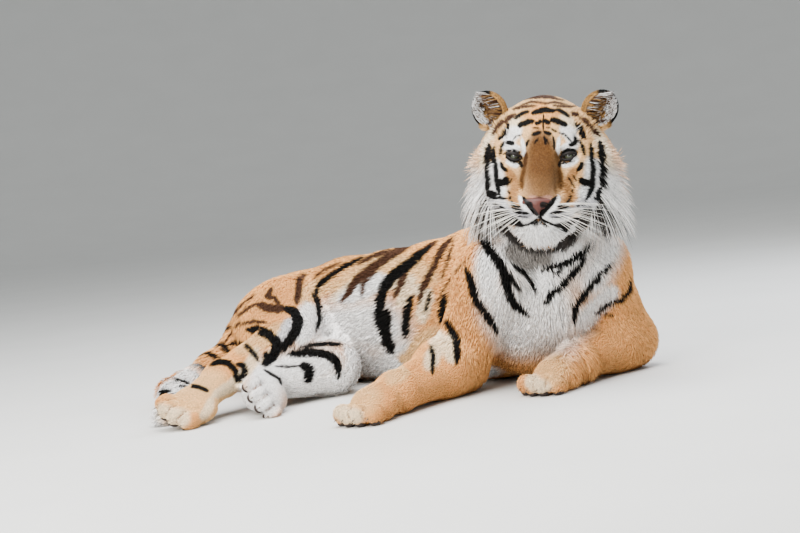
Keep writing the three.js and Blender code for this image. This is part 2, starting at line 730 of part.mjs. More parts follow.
// Cuts across the trunk, each [point, normal].
const NECK_BASE = [[-35, 265, 425], [0.2, -0.62, 0.76]];
const GIRTH = [[-190, 490, 180], [-0.62, 0.78, 0]];
const LOIN = [[-520, 715, 160], [-0.9, 0.42, 0]];
const TAIL_ROOT = [mix(xyz(TAIL[0]), xyz(TAIL[1]), 0.85), unit(less(xyz(TAIL[1]), xyz(TAIL[0])))];
const TAIL_MIDDLE = [xyz(TAIL[3]), unit(less(xyz(TAIL[4]), xyz(TAIL[2])))];
const THIGH_TOP = [[-700, 545, 120], [0, -1, 0]];

// Boxes that part a piece from what carries it; the arm's stands square to the chest's heading.
const THIGH_BOX = { centre: [-703, 345, 100], size: [336, 400, 460] };
const ARM_BOX = { centre: [260, -60, 140], size: [280, 420, 320], about: [-25, 270, 0] };

// The cut at a joint: across the bisector of the two bones that meet there.
const jointCut = (a, joint, b) => [joint, unit(plus(unit(less(joint, a)), unit(less(b, joint))))];

// One length of a leg between two cuts, and the same with room round it for a neighbour.
function segment(field, points, reach, cell, start, end) {
  const grown = (x, y, z) => field(x, y, z) - CONTACT;
  return {
    solid: between(fleshOf(field, points, reach, cell), start, end),
    room: fleshOf(grown, points, reach, cell).intersect(halfSpace(...start, -GAP / 2)),
  };
}

function buildForeleg(side) {
  const [elbow, wrist, paw] = [ELBOW[side], WRIST[side], FORE_PAW[side].at];
  const field = foreleg(side);
  const ahead = unit(less(wrist, elbow));
  const instep = [paw[0], paw[1], 40];
  const elbowCut = [mix(elbow, wrist, 0.24), unit([ahead[0], ahead[1], -0.8])];
  const wristCut = [mix(wrist, instep, 0.15), ahead];
  return {
    elbowCut,
    forearm: segment(field, [elbow, wrist], MARGIN.leg, LIMB_CELL, elbowCut, wristCut),
    paw: segment(field, [wrist, instep], MARGIN.paw, PAW_CELL, wristCut),
  };
}

function buildHindleg(side) {
  const [hip, knee, hock, paw] = [HIP[side], KNEE[side], HOCK[side], HIND_PAW[side].at];
  const field = hindleg(side);
  const toe = [paw[0], paw[1], 50];
  const kneeCut = jointCut(hip, knee, hock);
  const hockCut = [mix(hock, toe, 0.2), unit(less(toe, hock))];
  return {
    thigh: segment(field, [hip, knee], MARGIN.thigh, LIMB_CELL, THIGH_TOP, kneeCut),
    shank: segment(field, [knee, hock], MARGIN.leg, LIMB_CELL, kneeCut, hockCut),
    paw: segment(field, [hock, toe], MARGIN.paw, PAW_CELL, hockCut),
  };
}

const fore = { right: buildForeleg("right"), left: buildForeleg("left") };
const hind = { right: buildHindleg("right"), left: buildHindleg("left") };

// The right hind leg lies on the left one.
for (const lower of Object.values(hind.left))
  for (const upper of Object.values(hind.right)) lower.solid = lower.solid.subtract(upper.room);

const TRUNK_ENDS = [...BACK, ...BELLY, ...NECK, ...Object.values(ELBOW), ...TAIL.slice(0, 3)];
let body = fleshOf(bodyField, TRUNK_ENDS, MARGIN.trunk, BODY_CELL);
const tail = fleshOf(chain(TAIL, 20), TAIL, MARGIN.tail, TAIL_CELL);

// The thighs and the tail leave the body at their own cuts.
const [, noThighs] = partBox(body, THIGH_BOX.centre, THIGH_BOX.size);
body = between(noThighs, null, TAIL_ROOT);

// Each upper arm is boxed off the chest.
function armBox(side, solid) {
  const [x, y, z] = ARM_BOX.centre;
  const turn = new THREE.Matrix4().makeRotationZ(rad(HEADING));
  const centre = v3(side === "right" ? -x : x, y, z).applyMatrix4(turn).add(v3(...ARM_BOX.about));
  const [arm, rest] = partBox(solid, centre.toArray(), ARM_BOX.size, HEADING);
  return [between(arm, null, fore[side].elbowCut), rest];
}
const arms = {};
for (const side of ["right", "left"]) [arms[side], body] = armBox(side, body);

const neck = between(body, NECK_BASE, NAPE);
const trunk = between(body, null, NECK_BASE);
const chest = between(trunk, null, GIRTH).subtract(fore.left.forearm.room).subtract(neckRoom);
const loin = between(trunk, GIRTH, LOIN);
const hips = between(trunk, LOIN);

for (const side of ["right", "left"]) {
  const inner = side === "left" ? "white" : "orange"; // the left hind leg shows its inner side
  add(side + "_thigh", hind[side].thigh.solid, inner);
  add(side + "_shank", hind[side].shank.solid, inner);
  add(side + "_hind_paw", hind[side].paw.solid, inner);
  add(side + "_upper_arm", arms[side]);
  add(side + "_forearm", fore[side].forearm.solid);
  add(side + "_fore_paw", fore[side].paw.solid);
}
add("head", head);
for (const side of ["right", "left"]) {
  add(side + "_eye", inHead(sphere(EYE[side], EYE_RADIUS, 12, 8)), "eye");
}
add("nose", inHead(nose), "nose");
for (const side of ["right", "left"]) {
  add(side + "_ear", inHead(ears[side]));
  add(side + "_cheek_ruff", ruffs[side], "white");
}
add("neck", neck.subtract(neckRoom));
add("chest", chest, "white");
add("loin", loin);
add("hips", hips);
add("tail_base", between(tail, TAIL_ROOT, TAIL_MIDDLE));
add("tail_end", between(tail, TAIL_MIDDLE), "dark");

// ---------------------------------------------------------------- model
// The middle of the footprint, on the floor, is the origin.
const boxes = parts.map(({ solid }) => solid.boundingBox());
const middle = [0, 1].map((e) => {
  const low = Math.min(...boxes.map((b) => b.min[e]));
  const high = Math.max(...boxes.map((b) => b.max[e]));
  return (low + high) / 2;
});

const model = new THREE.Group();
model.name = "siberian_tiger";
for (const { name, solid, colour } of parts) {
  const mesh = solid.translate([-middle[0], -middle[1], 0]).getMesh();
  const g = new THREE.BufferGeometry();
  g.setAttribute("position", new THREE.BufferAttribute(new Float32Array(mesh.vertProperties), 3));
  g.setIndex(new THREE.BufferAttribute(new Uint32Array(mesh.triVerts), 1));
  g.computeVertexNormals();
  const material = new THREE.MeshStandardMaterial({ color: COLOUR[colour], roughness: 0.85 });
  const node = new THREE.Mesh(g, material);
  node.name = name;
  model.add(node);
}
export default model;
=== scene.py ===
# A Siberian tiger at rest, life size: one skin over the whole animal, a coat of solid tufts in its
# own markings, and eyes, lids, nose, pads, claws and whiskers as pieces of their own.
import math

import bmesh
import bpy
import numpy as np
from mathutils import Matrix, Vector
from mathutils.bvhtree import BVHTree


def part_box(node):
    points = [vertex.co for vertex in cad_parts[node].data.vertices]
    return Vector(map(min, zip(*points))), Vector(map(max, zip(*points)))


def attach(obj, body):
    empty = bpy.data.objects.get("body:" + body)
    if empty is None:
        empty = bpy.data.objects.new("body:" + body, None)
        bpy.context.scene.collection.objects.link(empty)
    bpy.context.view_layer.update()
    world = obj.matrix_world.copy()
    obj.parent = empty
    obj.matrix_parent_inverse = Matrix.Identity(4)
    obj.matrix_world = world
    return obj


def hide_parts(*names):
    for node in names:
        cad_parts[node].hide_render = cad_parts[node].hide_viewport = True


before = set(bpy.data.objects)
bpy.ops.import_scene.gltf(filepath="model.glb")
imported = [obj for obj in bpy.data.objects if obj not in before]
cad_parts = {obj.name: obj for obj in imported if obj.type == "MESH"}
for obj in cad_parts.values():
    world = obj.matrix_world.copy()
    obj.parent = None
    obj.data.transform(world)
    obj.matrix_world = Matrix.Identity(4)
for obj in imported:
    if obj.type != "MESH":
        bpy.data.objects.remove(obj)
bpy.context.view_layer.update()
print("frame loaded")

# the work frame: millimetres from the floor under the middle of the eyes, x to the animal's left,
# y towards its tail, z up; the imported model's eyes say where that is in the part
eyeBoxes = [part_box("right_eye"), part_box("left_eye")]
eyesMiddle = sum((low + high for low, high in eyeBoxes), Vector()) / 4
eyesInWork = np.array([1.2, 13.9, 560.0])
workOrigin = np.array(eyesMiddle) * 1000 - eyesInWork


def toPart(points):
    return (np.asarray(points, float) + workOrigin) / 1000


def toWork(points):
    return np.asarray(points, float) * 1000 - workOrigin


def unit(vectors):
    vectors = np.asarray(vectors, float)
    return vectors / np.maximum(np.linalg.norm(vectors, axis=-1, keepdims=True), 1e-9)


def smoothStep(value):
    value = np.clip(value, 0, 1)
    return value * value * (3 - 2 * value)


headPose = {"height": 560, "lean": 5.5, "turn": -5, "nod": 2}  # mm and degrees


def turned(degrees, axis):
    return Matrix.Rotation(math.radians(degrees), 4, axis)


# the head's own frame: origin between the eyes, -y ahead
headFrame = (
    Matrix.Translation((0, 0, headPose["height"]))
    @ turned(headPose["lean"], "Y")
    @ turned(headPose["turn"], "Z")
    @ turned(headPose["nod"], "X")
)


def moved(points, matrix):
    m = np.array(matrix)
    return np.asarray(points, float) @ m[:3, :3].T + m[:3, 3]


def fromHead(points):
    return moved(points, headFrame)


def inHead(points):
    return moved(points, headFrame.inverted())


# meshes and pieces
def linkMesh(name, mesh):
    piece = bpy.data.objects.new(name, mesh)
    bpy.context.scene.collection.objects.link(piece)
    return piece


def meshFrom(bm, name):
    # the bmesh made a mesh, and freed
    mesh = bpy.data.meshes.new(name)
    bm.to_mesh(mesh)
    bm.free()
    return mesh


def addTo(bm, mesh):
    # a mesh's faces put into the bmesh, and the mesh removed
    bm.from_mesh(mesh)
    bpy.data.meshes.remove(mesh)


def smoothed(mesh):
    mesh.polygons.foreach_set("use_smooth", [True] * len(mesh.polygons))
    return mesh


def meshPoints(mesh):
    points = np.empty(len(mesh.vertices) * 3)
    mesh.vertices.foreach_get("co", points)
    return points.reshape(-1, 3)


def vertexNormals(mesh):
    normals = np.empty(len(mesh.vertices) * 3)
    mesh.vertices.foreach_get("normal", normals)
    return normals.reshape(-1, 3)


def setPoints(mesh, points):
    mesh.vertices.foreach_set("co", np.ascontiguousarray(points, float).ravel())
    mesh.update()


# camera
cameraSettings = {
    "place": (0.0, -5000.0, 660.0),
    "tilt": 3.683,  # degrees down
    "turn": -4.035,  # degrees to the animal's left of straight ahead
    "roll": 6.0,
    "focal": 2150.0,  # in pixels of the view
    "view": (800, 533),  # pixels across and down, in which the markings are given
    "sensorMm": 36,
}


def cameraAxes(s=cameraSettings):
    tilt, turn, roll = (math.radians(s[k]) for k in ("tilt", "turn", "roll"))
    ahead = np.array([math.sin(turn) * math.cos(tilt), math.cos(turn) * math.cos(tilt), -math.sin(tilt)])
    level = np.array([math.cos(turn), -math.sin(turn), 0])
    upright = np.cross(level, ahead)
    right = math.cos(roll) * level - math.sin(roll) * upright
    up = math.sin(roll) * level + math.cos(roll) * upright
    return right, up, ahead


cameraRight, cameraUp, cameraAhead = cameraAxes()
cameraPlace = np.array(cameraSettings["place"])


def sightLine(x, y, s=cameraSettings):
    # from the camera through a pixel of its view
    ray = cameraAhead * s["focal"] + cameraRight * (x - s["view"][0] / 2)
    return unit(ray - cameraUp * (y - s["view"][1] / 2))


def makeCamera(s=cameraSettings):
    data = bpy.data.cameras.new("camera")
    data.sensor_width = s["sensorMm"]
    data.lens = s["focal"] * s["sensorMm"] / s["view"][0]
    data.clip_end = 100  # metres, past the end of the floor
    camera = bpy.data.objects.new("camera", data)
    bpy.context.scene.collection.objects.link(camera)
    turn = np.eye(4)
    turn[:3, 0], turn[:3, 1], turn[:3, 2] = cameraRight, cameraUp, -cameraAhead
    turn[:3, 3] = toPart(cameraPlace)
    camera.matrix_world = Matrix(turn.tolist())
    bpy.context.scene.camera = camera


makeCamera()


# materials
def linear(code):
    # an sRGB hex value as linear red, green and blue
    parts = [int(code[n : n + 2], 16) / 255 for n in (0, 2, 4)]
    return [c / 12.92 if c <= 0.04045 else ((c + 0.055) / 1.055) ** 2.4 for c in parts]


def addNode(tree, kind, inputs=None, **settings):
    node = tree.nodes.new(kind)
    for key, value in settings.items():
        setattr(node, key, value)
    for key, value in (inputs or {}).items():
        if isinstance(value, bpy.types.NodeSocket):
            tree.links.new(value, node.inputs[key])
        else:
            node.inputs[key].default_value = value
    return node


def newMaterial(name):
    material = bpy.data.materials.new(name)
    material.use_nodes = True
    tree = material.node_tree
    return material, tree, tree.nodes["Principled BSDF"]


def mixedTone(tree, factor, low, high):
    # from one tone to another by a factor
    mixed = addNode(tree, "ShaderNodeMix", {"Factor": factor}, data_type="RGBA")
    mixed.inputs["A"].default_value = (*linear(low), 1)
    mixed.inputs["B"].default_value = (*linear(high), 1)
    return mixed.outputs["Result"]


def setShader(shader, tree, **inputs):
    for key, value in inputs.items():
        socket = shader.inputs[key.replace("_", " ")]
        if isinstance(value, bpy.types.NodeSocket):
            tree.links.new(value, socket)
        else:
            socket.default_value = value


def cloudedMaterial(name, scale, s):
    # a plain dull finish, clouded a little from one tone to another
    material, tree, shader = newMaterial(name)
    place = addNode(tree, "ShaderNodeTexCoord")
    cloud = addNode(tree, "ShaderNodeTexNoise", {"Vector": place.outputs["Object"], "Scale": scale})
    colour = mixedTone(tree, cloud.outputs["Fac"], s["light"], s["dark"])
    setShader(shader, tree, Base_Color=colour, Roughness=s["roughness"])
    return material


furFinish = {
    "roughness": 0.7, "specular": 0.1,
    "strandMm": 2.2,  # from one lock to the next, coarse enough to show
    "bump": 0.35, "bumpMm": 1, "shade": (0.76, 1.2),
}


def furMaterial(name, s=furFinish):
    # keratin hair over skin: a dull, soft surface whose colour comes from the painted markings,
    # broken up into fine locks
    material, tree, shader = newMaterial(name)
    tone = addNode(tree, "ShaderNodeAttribute", attribute_name="coatTone")
    place = addNode(tree, "ShaderNodeTexCoord")
    strand = addNode(
        tree, "ShaderNodeTexNoise",
        {"Vector": place.outputs["Object"], "Scale": 1000 / s["strandMm"] / 2, "Detail": 3.0},
    )
    dark, light = s["shade"]
    shade = addNode(
        tree, "ShaderNodeMapRange",
        {"Value": strand.outputs["Fac"], "From Min": 0.3, "From Max": 0.7, "To Min": dark, "To Max": light},
    )
    colour = addNode(
        tree, "ShaderNodeVectorMath", {0: tone.outputs["Color"], 1: shade.outputs["Result"]},
        operation="MULTIPLY",
    )
    bump = addNode(
        tree, "ShaderNodeBump",
        {"Height": strand.outputs["Fac"], "Strength": s["bump"], "Distance": s["bumpMm"] / 1000},
    )
    setShader(
        shader, tree, Base_Color=colour.outputs["Vector"], Roughness=s["roughness"],
        Specular_IOR_Level=s["specular"], Normal=bump.outputs["Normal"],
    )
    return material


# distance fields: each gives how far outside its shape the points of an array (n, 3) lie
def fromSegment(p, a, b):
    # how far along the segment from a to b each point is, as a share, and how far from it
    along = b - a
    t = np.clip((p - a) @ along / max(along @ along, 1e-9), 0, 1)
    return t, np.linalg.norm(p - a - t[:, None] * along, axis=1)


def taper(a, b, ra, rb):
    # a limb from radius ra at a to rb at b
    a, b = np.array(a, float), np.array(b, float)

    def field(p):
        t, distance = fromSegment(p, a, b)
        return distance - (ra + (rb - ra) * t)

    return field


def ellipsoid(centre, radii, turn=0, axis="Z"):
    back = np.array(Matrix.Rotation(math.radians(turn), 3, axis))
    centre, radii = np.array(centre, float), np.array(radii, float)

    def field(p):
        q = (p - centre) @ back / radii
        k0 = np.linalg.norm(q, axis=1)
        k1 = np.linalg.norm(q / radii, axis=1)
        return k0 * (k0 - 1) / np.maximum(k1, 1e-9)

    return field


def blend(k, *fields):
    # a union whose seams are filled about k wide
    def field(p):
        d = fields[0](p)
        for other in fields[1:]:
            e = other(p)
            h = np.maximum(k - np.abs(d - e), 0) / k
            d = np.minimum(d, e) - h * h * k / 4
        return d

    return field


def carve(k, field, tool):
    def carved(p):
        d, e = field(p), -tool(p)
        h = np.maximum(k - np.abs(d - e), 0) / k
        return np.maximum(d, e) + h * h * k / 4

    return carved


def chain(stations, k):
    links = [taper(a[:3], b[:3], a[3], b[3]) for a, b in zip(stations, stations[1:])]
    return blend(k, *links)


def bothSides(field):
    return lambda p: field(np.column_stack([np.abs(p[:, 0]), p[:, 1:]]))


def placed(field, matrix):
    return lambda p: field(moved(p, matrix.inverted()))


def mix(a, b, t):
    return tuple(p + (q - p) * t for p, q in zip(a, b))


# the body, in stations (x, y, z, radius)
back = [
    (-80, 400, 328, 104), (-195, 515, 270, 97), (-300, 605, 243, 96), (-420, 690, 228, 95),
    (-540, 755, 216, 95), (-680, 800, 182, 94), (-800, 805, 134, 82),
]
belly = [
    (-25, 265, 205, 128), (-70, 360, 182, 158), (-165, 470, 172, 164), (-290, 580, 160, 156),
    (-420, 670, 150, 148), (-550, 740, 142, 142), (-680, 785, 130, 132), (-790, 790, 105, 104),
]
neck = [(-75, 375, 320, 128), (-30, 250, 400, 120), (5, 150, 480, 108), (12, 110, 530, 90)]
tail = [
    (-840, 770, 112, 66), (-930, 705, 66, 50), (-995, 610, 39, 42), (-1010, 490, 37, 41),
    (-985, 375, 37, 41), (-950, 285, 37, 40), (-952, 200, 33, 37), (-978, 140, 25, 28),
]
withers = (-60, 400, 360)
forelegs = {
    "right": {
        "shoulder": (-148, 170, 280), "elbow": (-250, 225, 74), "wrist": (-388, -45, 50),
        "paw": (-440, -140, 0), "ahead": (-0.477, -0.879, 0), "roll": 0,
    },
    "left": {
        "shoulder": (98, 275, 275), "elbow": (168, 395, 74), "wrist": (34, 172, 52),
        "paw": (-20, 84, 0), "ahead": (-0.538, -0.843, 0), "roll": 0,
    },
}
hindlegs = {
    "right": {
        "hip": (-705, 690, 186), "knee": (-697, 395, 122), "hock": (-833, 230, 92),
        "paw": (-900, 100, 0), "ahead": (-0.55, -0.83, 0), "roll": 30, "thigh": (116, 74),
    },
    "left": {
        "hip": (-700, 700, 75), "knee": (-580, 425, 72), "hock": (-735, 262, 70),
        "paw": (-742, 178, 0), "ahead": (-0.1, -0.99, 0), "roll": 60, "thigh": (84, 62),
    },
}


pawHalf = 38  # mm from the middle of the sole to the edge that a rolled paw lies on
toeSpread = 29


def pawFrame(leg):
    # ahead is -y, the animal's left +x, the sole at z = 0; a rolled paw lies on its edge
    behind = -unit(leg["ahead"])
    across = np.cross(behind, (0, 0, 1))
    basis = np.eye(4)
    basis[:3, 0], basis[:3, 1], basis[:3, 2] = across, behind, (0, 0, 1)
    lift = abs(math.sin(math.radians(leg["roll"]))) * pawHalf
    basis[:3, 3] = np.add(leg["paw"], (0, 0, lift))
    return Matrix(basis.tolist()) @ turned(leg["roll"], "Y")


def toePlaces():
    return [(i * toeSpread, -70 if abs(i) < 1 else -54, 26) for i in (-1.5, -0.5, 0.5, 1.5)]


def pawField(leg):
    toes = [ellipsoid(place, (18, 37, 25), -10, "X") for place in toePlaces()]
    instep = ellipsoid((0, 5, 32), (52, 58, 34))
    pad = ellipsoid((0, -10, 15), (42, 45, 16))
    return placed(blend(7, blend(20, instep, pad), *toes), pawFrame(leg))


def forelegField(leg):
    shoulder, elbow, wrist = leg["shoulder"], leg["elbow"], leg["wrist"]
    x, y, _ = leg["paw"]
    bulge = np.add(mix(elbow, wrist, 0.26), (0, 0, 6))
    arm = blend(
        46,
        taper(mix(withers, shoulder, 0.5), shoulder, 72, 80),
        taper(shoulder, elbow, 80, 66),
        taper(elbow, wrist, 70, 48),
        ellipsoid(bulge, (68, 68, 68)),
    )
    return blend(24, arm, taper(wrist, (x, y, 40), 48, 42), pawField(leg))


def hindlegField(leg):
    hip, knee, hock = leg["hip"], leg["knee"], leg["hock"]
    top, end = leg["thigh"]
    x, y, _ = leg["paw"]
    buttock = np.add(mix(hip, knee, 0.1), (-70, 20, -12))
    thigh = blend(
        60, taper(hip, knee, top, end), taper(buttock, mix(hip, knee, 0.85), top * 0.8, end * 0.8)
    )
    shank = blend(
        34, thigh, taper(knee, hock, end, 42), taper(mix(knee, hock, 0.1), mix(knee, hock, 0.6), end, 50)
    )
    heel = mix(knee, hock, 1.08)
    lift = 36 + math.sin(math.radians(leg["roll"])) * 16
    return blend(22, shank, taper(heel, hock, 36, 42), taper(hock, (x, y, lift), 42, 42), pawField(leg))


# the head, in its own frame
eyePlace = (63, 14, 0)
eyeRadius = 17
muzzlePad = (34, -80, -120)
chin = (0, -58, -168)


eyeOpening = {"half": 20, "upper": 7.0, "lower": -7.3, "slant": 4.5, "drop": 0.5, "off": 1.2}  # mm


def lidEdge(upper, count, s=eyeOpening):
    # one edge of the eye's opening, from the inner corner to the outer, over the ball
    t = np.linspace(-1, 1, count)
    across = t * s["half"]
    up = s["upper" if upper else "lower"] * (1 - t * t) + t * s["slant"] - s["drop"]
    toEdge = np.minimum(0.95, np.hypot(across, up) / (eyeRadius + 5))
    ahead = (eyeRadius + s["off"]) * np.sqrt(1 - toEdge**2)
    return np.column_stack([eyePlace[0] + across, eyePlace[1] - ahead, eyePlace[2] + up])


def coarseFace():
    skull = ellipsoid((0, 108, 20), (98, 112, 114))
    mane = ellipsoid((0, 122, 8), (150, 92, 112))
    forehead = taper((0, 34, 14), (0, 92, 62), 44, 66)
    brow = bothSides(ellipsoid((48, 14, 20), (32, 26, 17), 20))
    bridge = taper((0, 28, -4), (0, -90, -84), 41, 34)
    pads = bothSides(ellipsoid(muzzlePad, (43, 46, 37)))
    lip = bothSides(taper((34, -66, -128), (74, 10, -112), 34, 46))
    chinPad = ellipsoid(chin, (40, 42, 32))
    jaw = bothSides(taper((22, -40, -160), (64, 70, -120), 34, 50))
    cheek = bothSides(ellipsoid((84, 68, -52), (58, 76, 86)))
    cheekbone = bothSides(taper((70, 18, -34), (112, 90, -10), 26, 36))
    ruff = bothSides(ellipsoid((112, 114, -72), (54, 56, 98), 20))
    throat = taper((0, 10, -110), (0, 150, -110), 78, 104)
    whole = blend(
        24,
        blend(40, skull, mane, throat, cheek, ruff, jaw),
        blend(26, forehead, brow, cheekbone),
        blend(20, bridge, pads, lip, chinPad),
    )
    socket = bothSides(ellipsoid((62, -12, -1), (22, 20, 13), 24))
    return carve(14, whole, socket)


mouthLine = [(0, -143), (16, -147), (34, -151), (48, -155), (60, -152)]


def faceDepth(points, field, start=-220):
    # y where the face is met from straight ahead, at each (x, z)
    p = np.array([(x, start, z) for x, z in points], float)
    for _ in range(70):
        p[:, 1] += np.maximum(field(p), 0) * 0.7
    return p


def fineFace():
    coarse = coarseFace()
    lids = []
    for upper in (True, False):
        edge = lidEdge(upper, 7) + (0, 2.5, 2.6 if upper else -2.6)
        lids += [taper(a, b, 4.2, 4.2) for a, b in zip(edge, edge[1:])]
    lidded = blend(5, coarse, bothSides(blend(3, *lids)))
    ball = bothSides(ellipsoid((eyePlace[0], eyePlace[1] - 2, -1), (19, eyeRadius, 10.4), 0))
    opened = carve(2, lidded, ball)
    line = faceDepth(mouthLine, coarse)
    groove = [taper(a, b, 2.8, 2.8) for a, b in zip(line, line[1:])]
    philtrum = faceDepth([(0, -124), (0, -143)], coarse)
    parted = carve(4, opened, bothSides(blend(2, *groove)))
    return carve(4, parted, taper(philtrum[0], philtrum[1], 2.4, 2.4))


def headField():
    return placed(fineFace(), headFrame)


trunk = blend(84, chain(back, 50), chain(belly, 50))
bodyField = blend(
    50, trunk, chain(neck, 60), *[
        blend(46, taper(mix(withers, leg["shoulder"], 0.5), leg["shoulder"], 72, 80),
              taper(leg["shoulder"], leg["elbow"], 80, 66))
        for leg in forelegs.values()
    ],
)
skinField = blend(
    16,
    blend(34, bodyField, headField(), chain(tail, 20)),
    *[forelegField(leg) for leg in forelegs.values()],
    *[hindlegField(leg) for leg in hindlegs.values()],
)


def surfaceNormals(p, field, step=1.5):
    here = field(p)
    slope = np.column_stack([field(p + np.eye(3)[n] * step) - here for n in range(3)])
    return here, unit(slope)


def settleOn(p, field, depth, rounds=3, most=12):
    # moves points along the field's slope until they lie depth inside it, by most mm a round
    for _ in range(rounds):
        here, normal = surfaceNormals(p, field)
        p = p - normal * np.clip(here + depth, -most, most)[:, None]
    return p


# how the coat lies: it runs along each guide, from its first point to its last
def guide(path, reach, hair, wide, lift=0.2, fall=0.08):
    # reach: how far out the guide is felt; hair: length; wide: width of a tuft; lift: how far it
    # stands off; fall: how much it hangs; all in mm or as shares
    return {"path": path, "reach": reach, "hair": hair, "wide": wide, "lift": lift, "fall": fall}


coatGuides = {
    "back": guide(back, 100, 20, 3.2, 0.24, 0.35),
    "belly": guide(belly, 150, 26, 3.4, 0.22, 0.5),
    "neck": guide(neck[::-1], 112, 30, 3.8, 0.26, 0.5),
    "breast": guide([(5, 60, 400), (20, 75, 300), (30, 110, 120), (30, 140, 20)], 95, 38, 3.8, 0.24, 0.4),
    "tail": guide(tail, 45, 26, 3.6, 0.26, 0.1),
}
for side, leg in forelegs.items():
    toes = np.add(leg["paw"], np.multiply(leg["ahead"], 110)) + (0, 0, 14)
    x, y, _ = leg["paw"]
    arm = [mix(withers, leg["shoulder"], 0.5), leg["shoulder"], leg["elbow"]]
    coatGuides |= {
        side + "Arm": guide(arm, 82, 24, 3.6, 0.24, 0.2),
        side + "Forearm": guide([leg["elbow"], leg["wrist"], (x, y, 40)], 52, 15, 2.9, 0.22, 0.05),
        side + "ForePaw": guide([(x, y, 40), toes], 48, 9, 2.4, 0.2, 0),
    }
for side, leg in hindlegs.items():
    frameOfPaw = pawFrame(leg)
    instep, toes = (moved([place], frameOfPaw)[0] for place in ((0, 10, 30), (0, -100, 15)))
    coatGuides |= {
        side + "Thigh": guide([leg["hip"], leg["knee"]], 95, 24, 3.6, 0.24, 0.2),
        side + "Shank": guide([leg["knee"], leg["hock"]], 52, 17, 3.0, 0.22, 0.1),
        side + "HindPaw": guide([leg["hock"], instep, toes], 44, 9, 2.4, 0.2, 0),
    }

# on the face, for its left side; each is mirrored for the right
faceGuides = {
    "bridge": guide([(4, -104, -84), (10, -50, -44), (14, -6, 0)], 26, 4.5, 1.5),
    "forehead": guide([(14, -4, 4), (20, 26, 60), (22, 70, 116)], 40, 7, 1.7),
    "brow": guide([(44, -8, 22), (62, 22, 62)], 26, 6.5, 1.6),
    "crown": guide([(20, 70, 120), (24, 150, 134), (24, 230, 70)], 60, 11, 2.3),
    "innerEye": guide([(34, -30, -20), (40, -18, -6)], 12, 4.5, 1.4),
    "underEye": guide([(44, -34, -34), (74, -8, -40), (104, 30, -40)], 24, 6.5, 1.6),
    "pad": guide([(14, -120, -118), (44, -112, -122), (72, -66, -124)], 24, 5.5, 1.5),
    "lip": guide([(8, -116, -136), (44, -96, -146), (76, -30, -140)], 22, 7, 1.6),
    "chin": guide([(6, -96, -160), (12, -78, -190), (14, -30, -214)], 26, 22, 2.4, 0.34),
    "jaw": guide([(44, -60, -168), (66, 10, -186), (80, 80, -200)], 36, 30, 2.8, 0.3),
    "cheek": guide([(74, -20, -70), (100, 24, -84), (130, 70, -104)], 36, 12, 2.0, 0.26),
    "temple": guide([(84, 20, 14), (112, 66, 10), (146, 116, -8)], 36, 12, 2.0, 0.26),
    "ruff": guide([(122, 60, -30), (150, 100, -80), (160, 140, -150)], 44, 42, 3.4, 0.34),
    "earFoot": guide([(88, 46, 44), (96, 78, 74), (104, 110, 92)], 24, 24, 2.2, 0.5),
    "throat": guide([(20, -10, -200), (24, 60, -230), (20, 120, -280)], 60, 38, 3.8, 0.3),
}
for name, oneSide in faceGuides.items():
    for side, sign in (("left", 1), ("right", -1)):
        path = fromHead(np.multiply(oneSide["path"], (sign, 1, 1)))
        coatGuides[side + name.capitalize()] = oneSide | {"path": path}


def coatAt(points):
    # the coat's direction and sizes at each point, from the guides near it
    total = np.zeros(len(points))
    lie = np.zeros((len(points), 3))
    sizes = {key: np.zeros(len(points)) for key in ("hair", "wide", "lift")}
    for s in coatGuides.values():
        path = np.array([p[:3] for p in s["path"]], float)
        nearest = np.full(len(points), 1e9)
        heading = np.zeros((len(points), 3))
        for a, b in zip(path, path[1:]):
            _, distance = fromSegment(points, a, b)
            closer = distance < nearest
            nearest[closer] = distance[closer]
            heading[closer] = unit(b - a)
        weight = 1 / ((nearest / s["reach"]) ** 6 + 0.02)
        total += weight
        lie += weight[:, None] * (heading - (0, 0, s["fall"]))
        for key in sizes:
            sizes[key] += weight * s[key]
    return unit(lie), {key: value / total for key, value in sizes.items()}


def coatDepth(sizes, share=0.3, most=12):
    # how far the skin lies below the outline, which the coat fills
    return np.minimum(sizes["hair"] * share, most)


# the skin
skinSettings = {
    "voxel": 0.0072, "swell": 0.004,  # metres
    "ease": 6,
    "fine": {"back": 62, "low": -216, "side": 120},  # the part of the head with halved facets
    "settled": {"back": 90, "low": -215},  # the part that is settled again, mm in the head's frame
    "clear": 0.6,  # mm above the floor
}
limbNodes = [
    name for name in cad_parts
    if name.endswith(("thigh", "shank", "paw", "arm", "chest", "loin", "hips", "tail_base", "tail_end"))
]
fleshNodes = limbNodes + ["neck", "head", "right_cheek_ruff", "left_cheek_ruff"]


def ballBlank(bm, centre, radius, detail=4):
    # an icosphere at a place of the work frame
    place = Matrix.Translation(toPart(centre).tolist())
    bmesh.ops.create_icosphere(bm, subdivisions=detail, radius=radius / 1000, matrix=place)


def castBlank(name, centre, field, reach, detail):
    # an icosphere about centre, each point brought in until it meets the field
    bm = bmesh.new()
    bmesh.ops.create_icosphere(bm, subdivisions=detail, radius=1)
    mesh = meshFrom(bm, name)
    rays = unit(meshPoints(mesh))
    distance = np.full(len(rays), float(reach))
    for _ in range(60):
        distance -= np.maximum(field(centre + rays * distance[:, None]), 0) * 0.8
        distance = np.maximum(distance, 1)
    setPoints(mesh, centre + rays * distance[:, None])
    return mesh


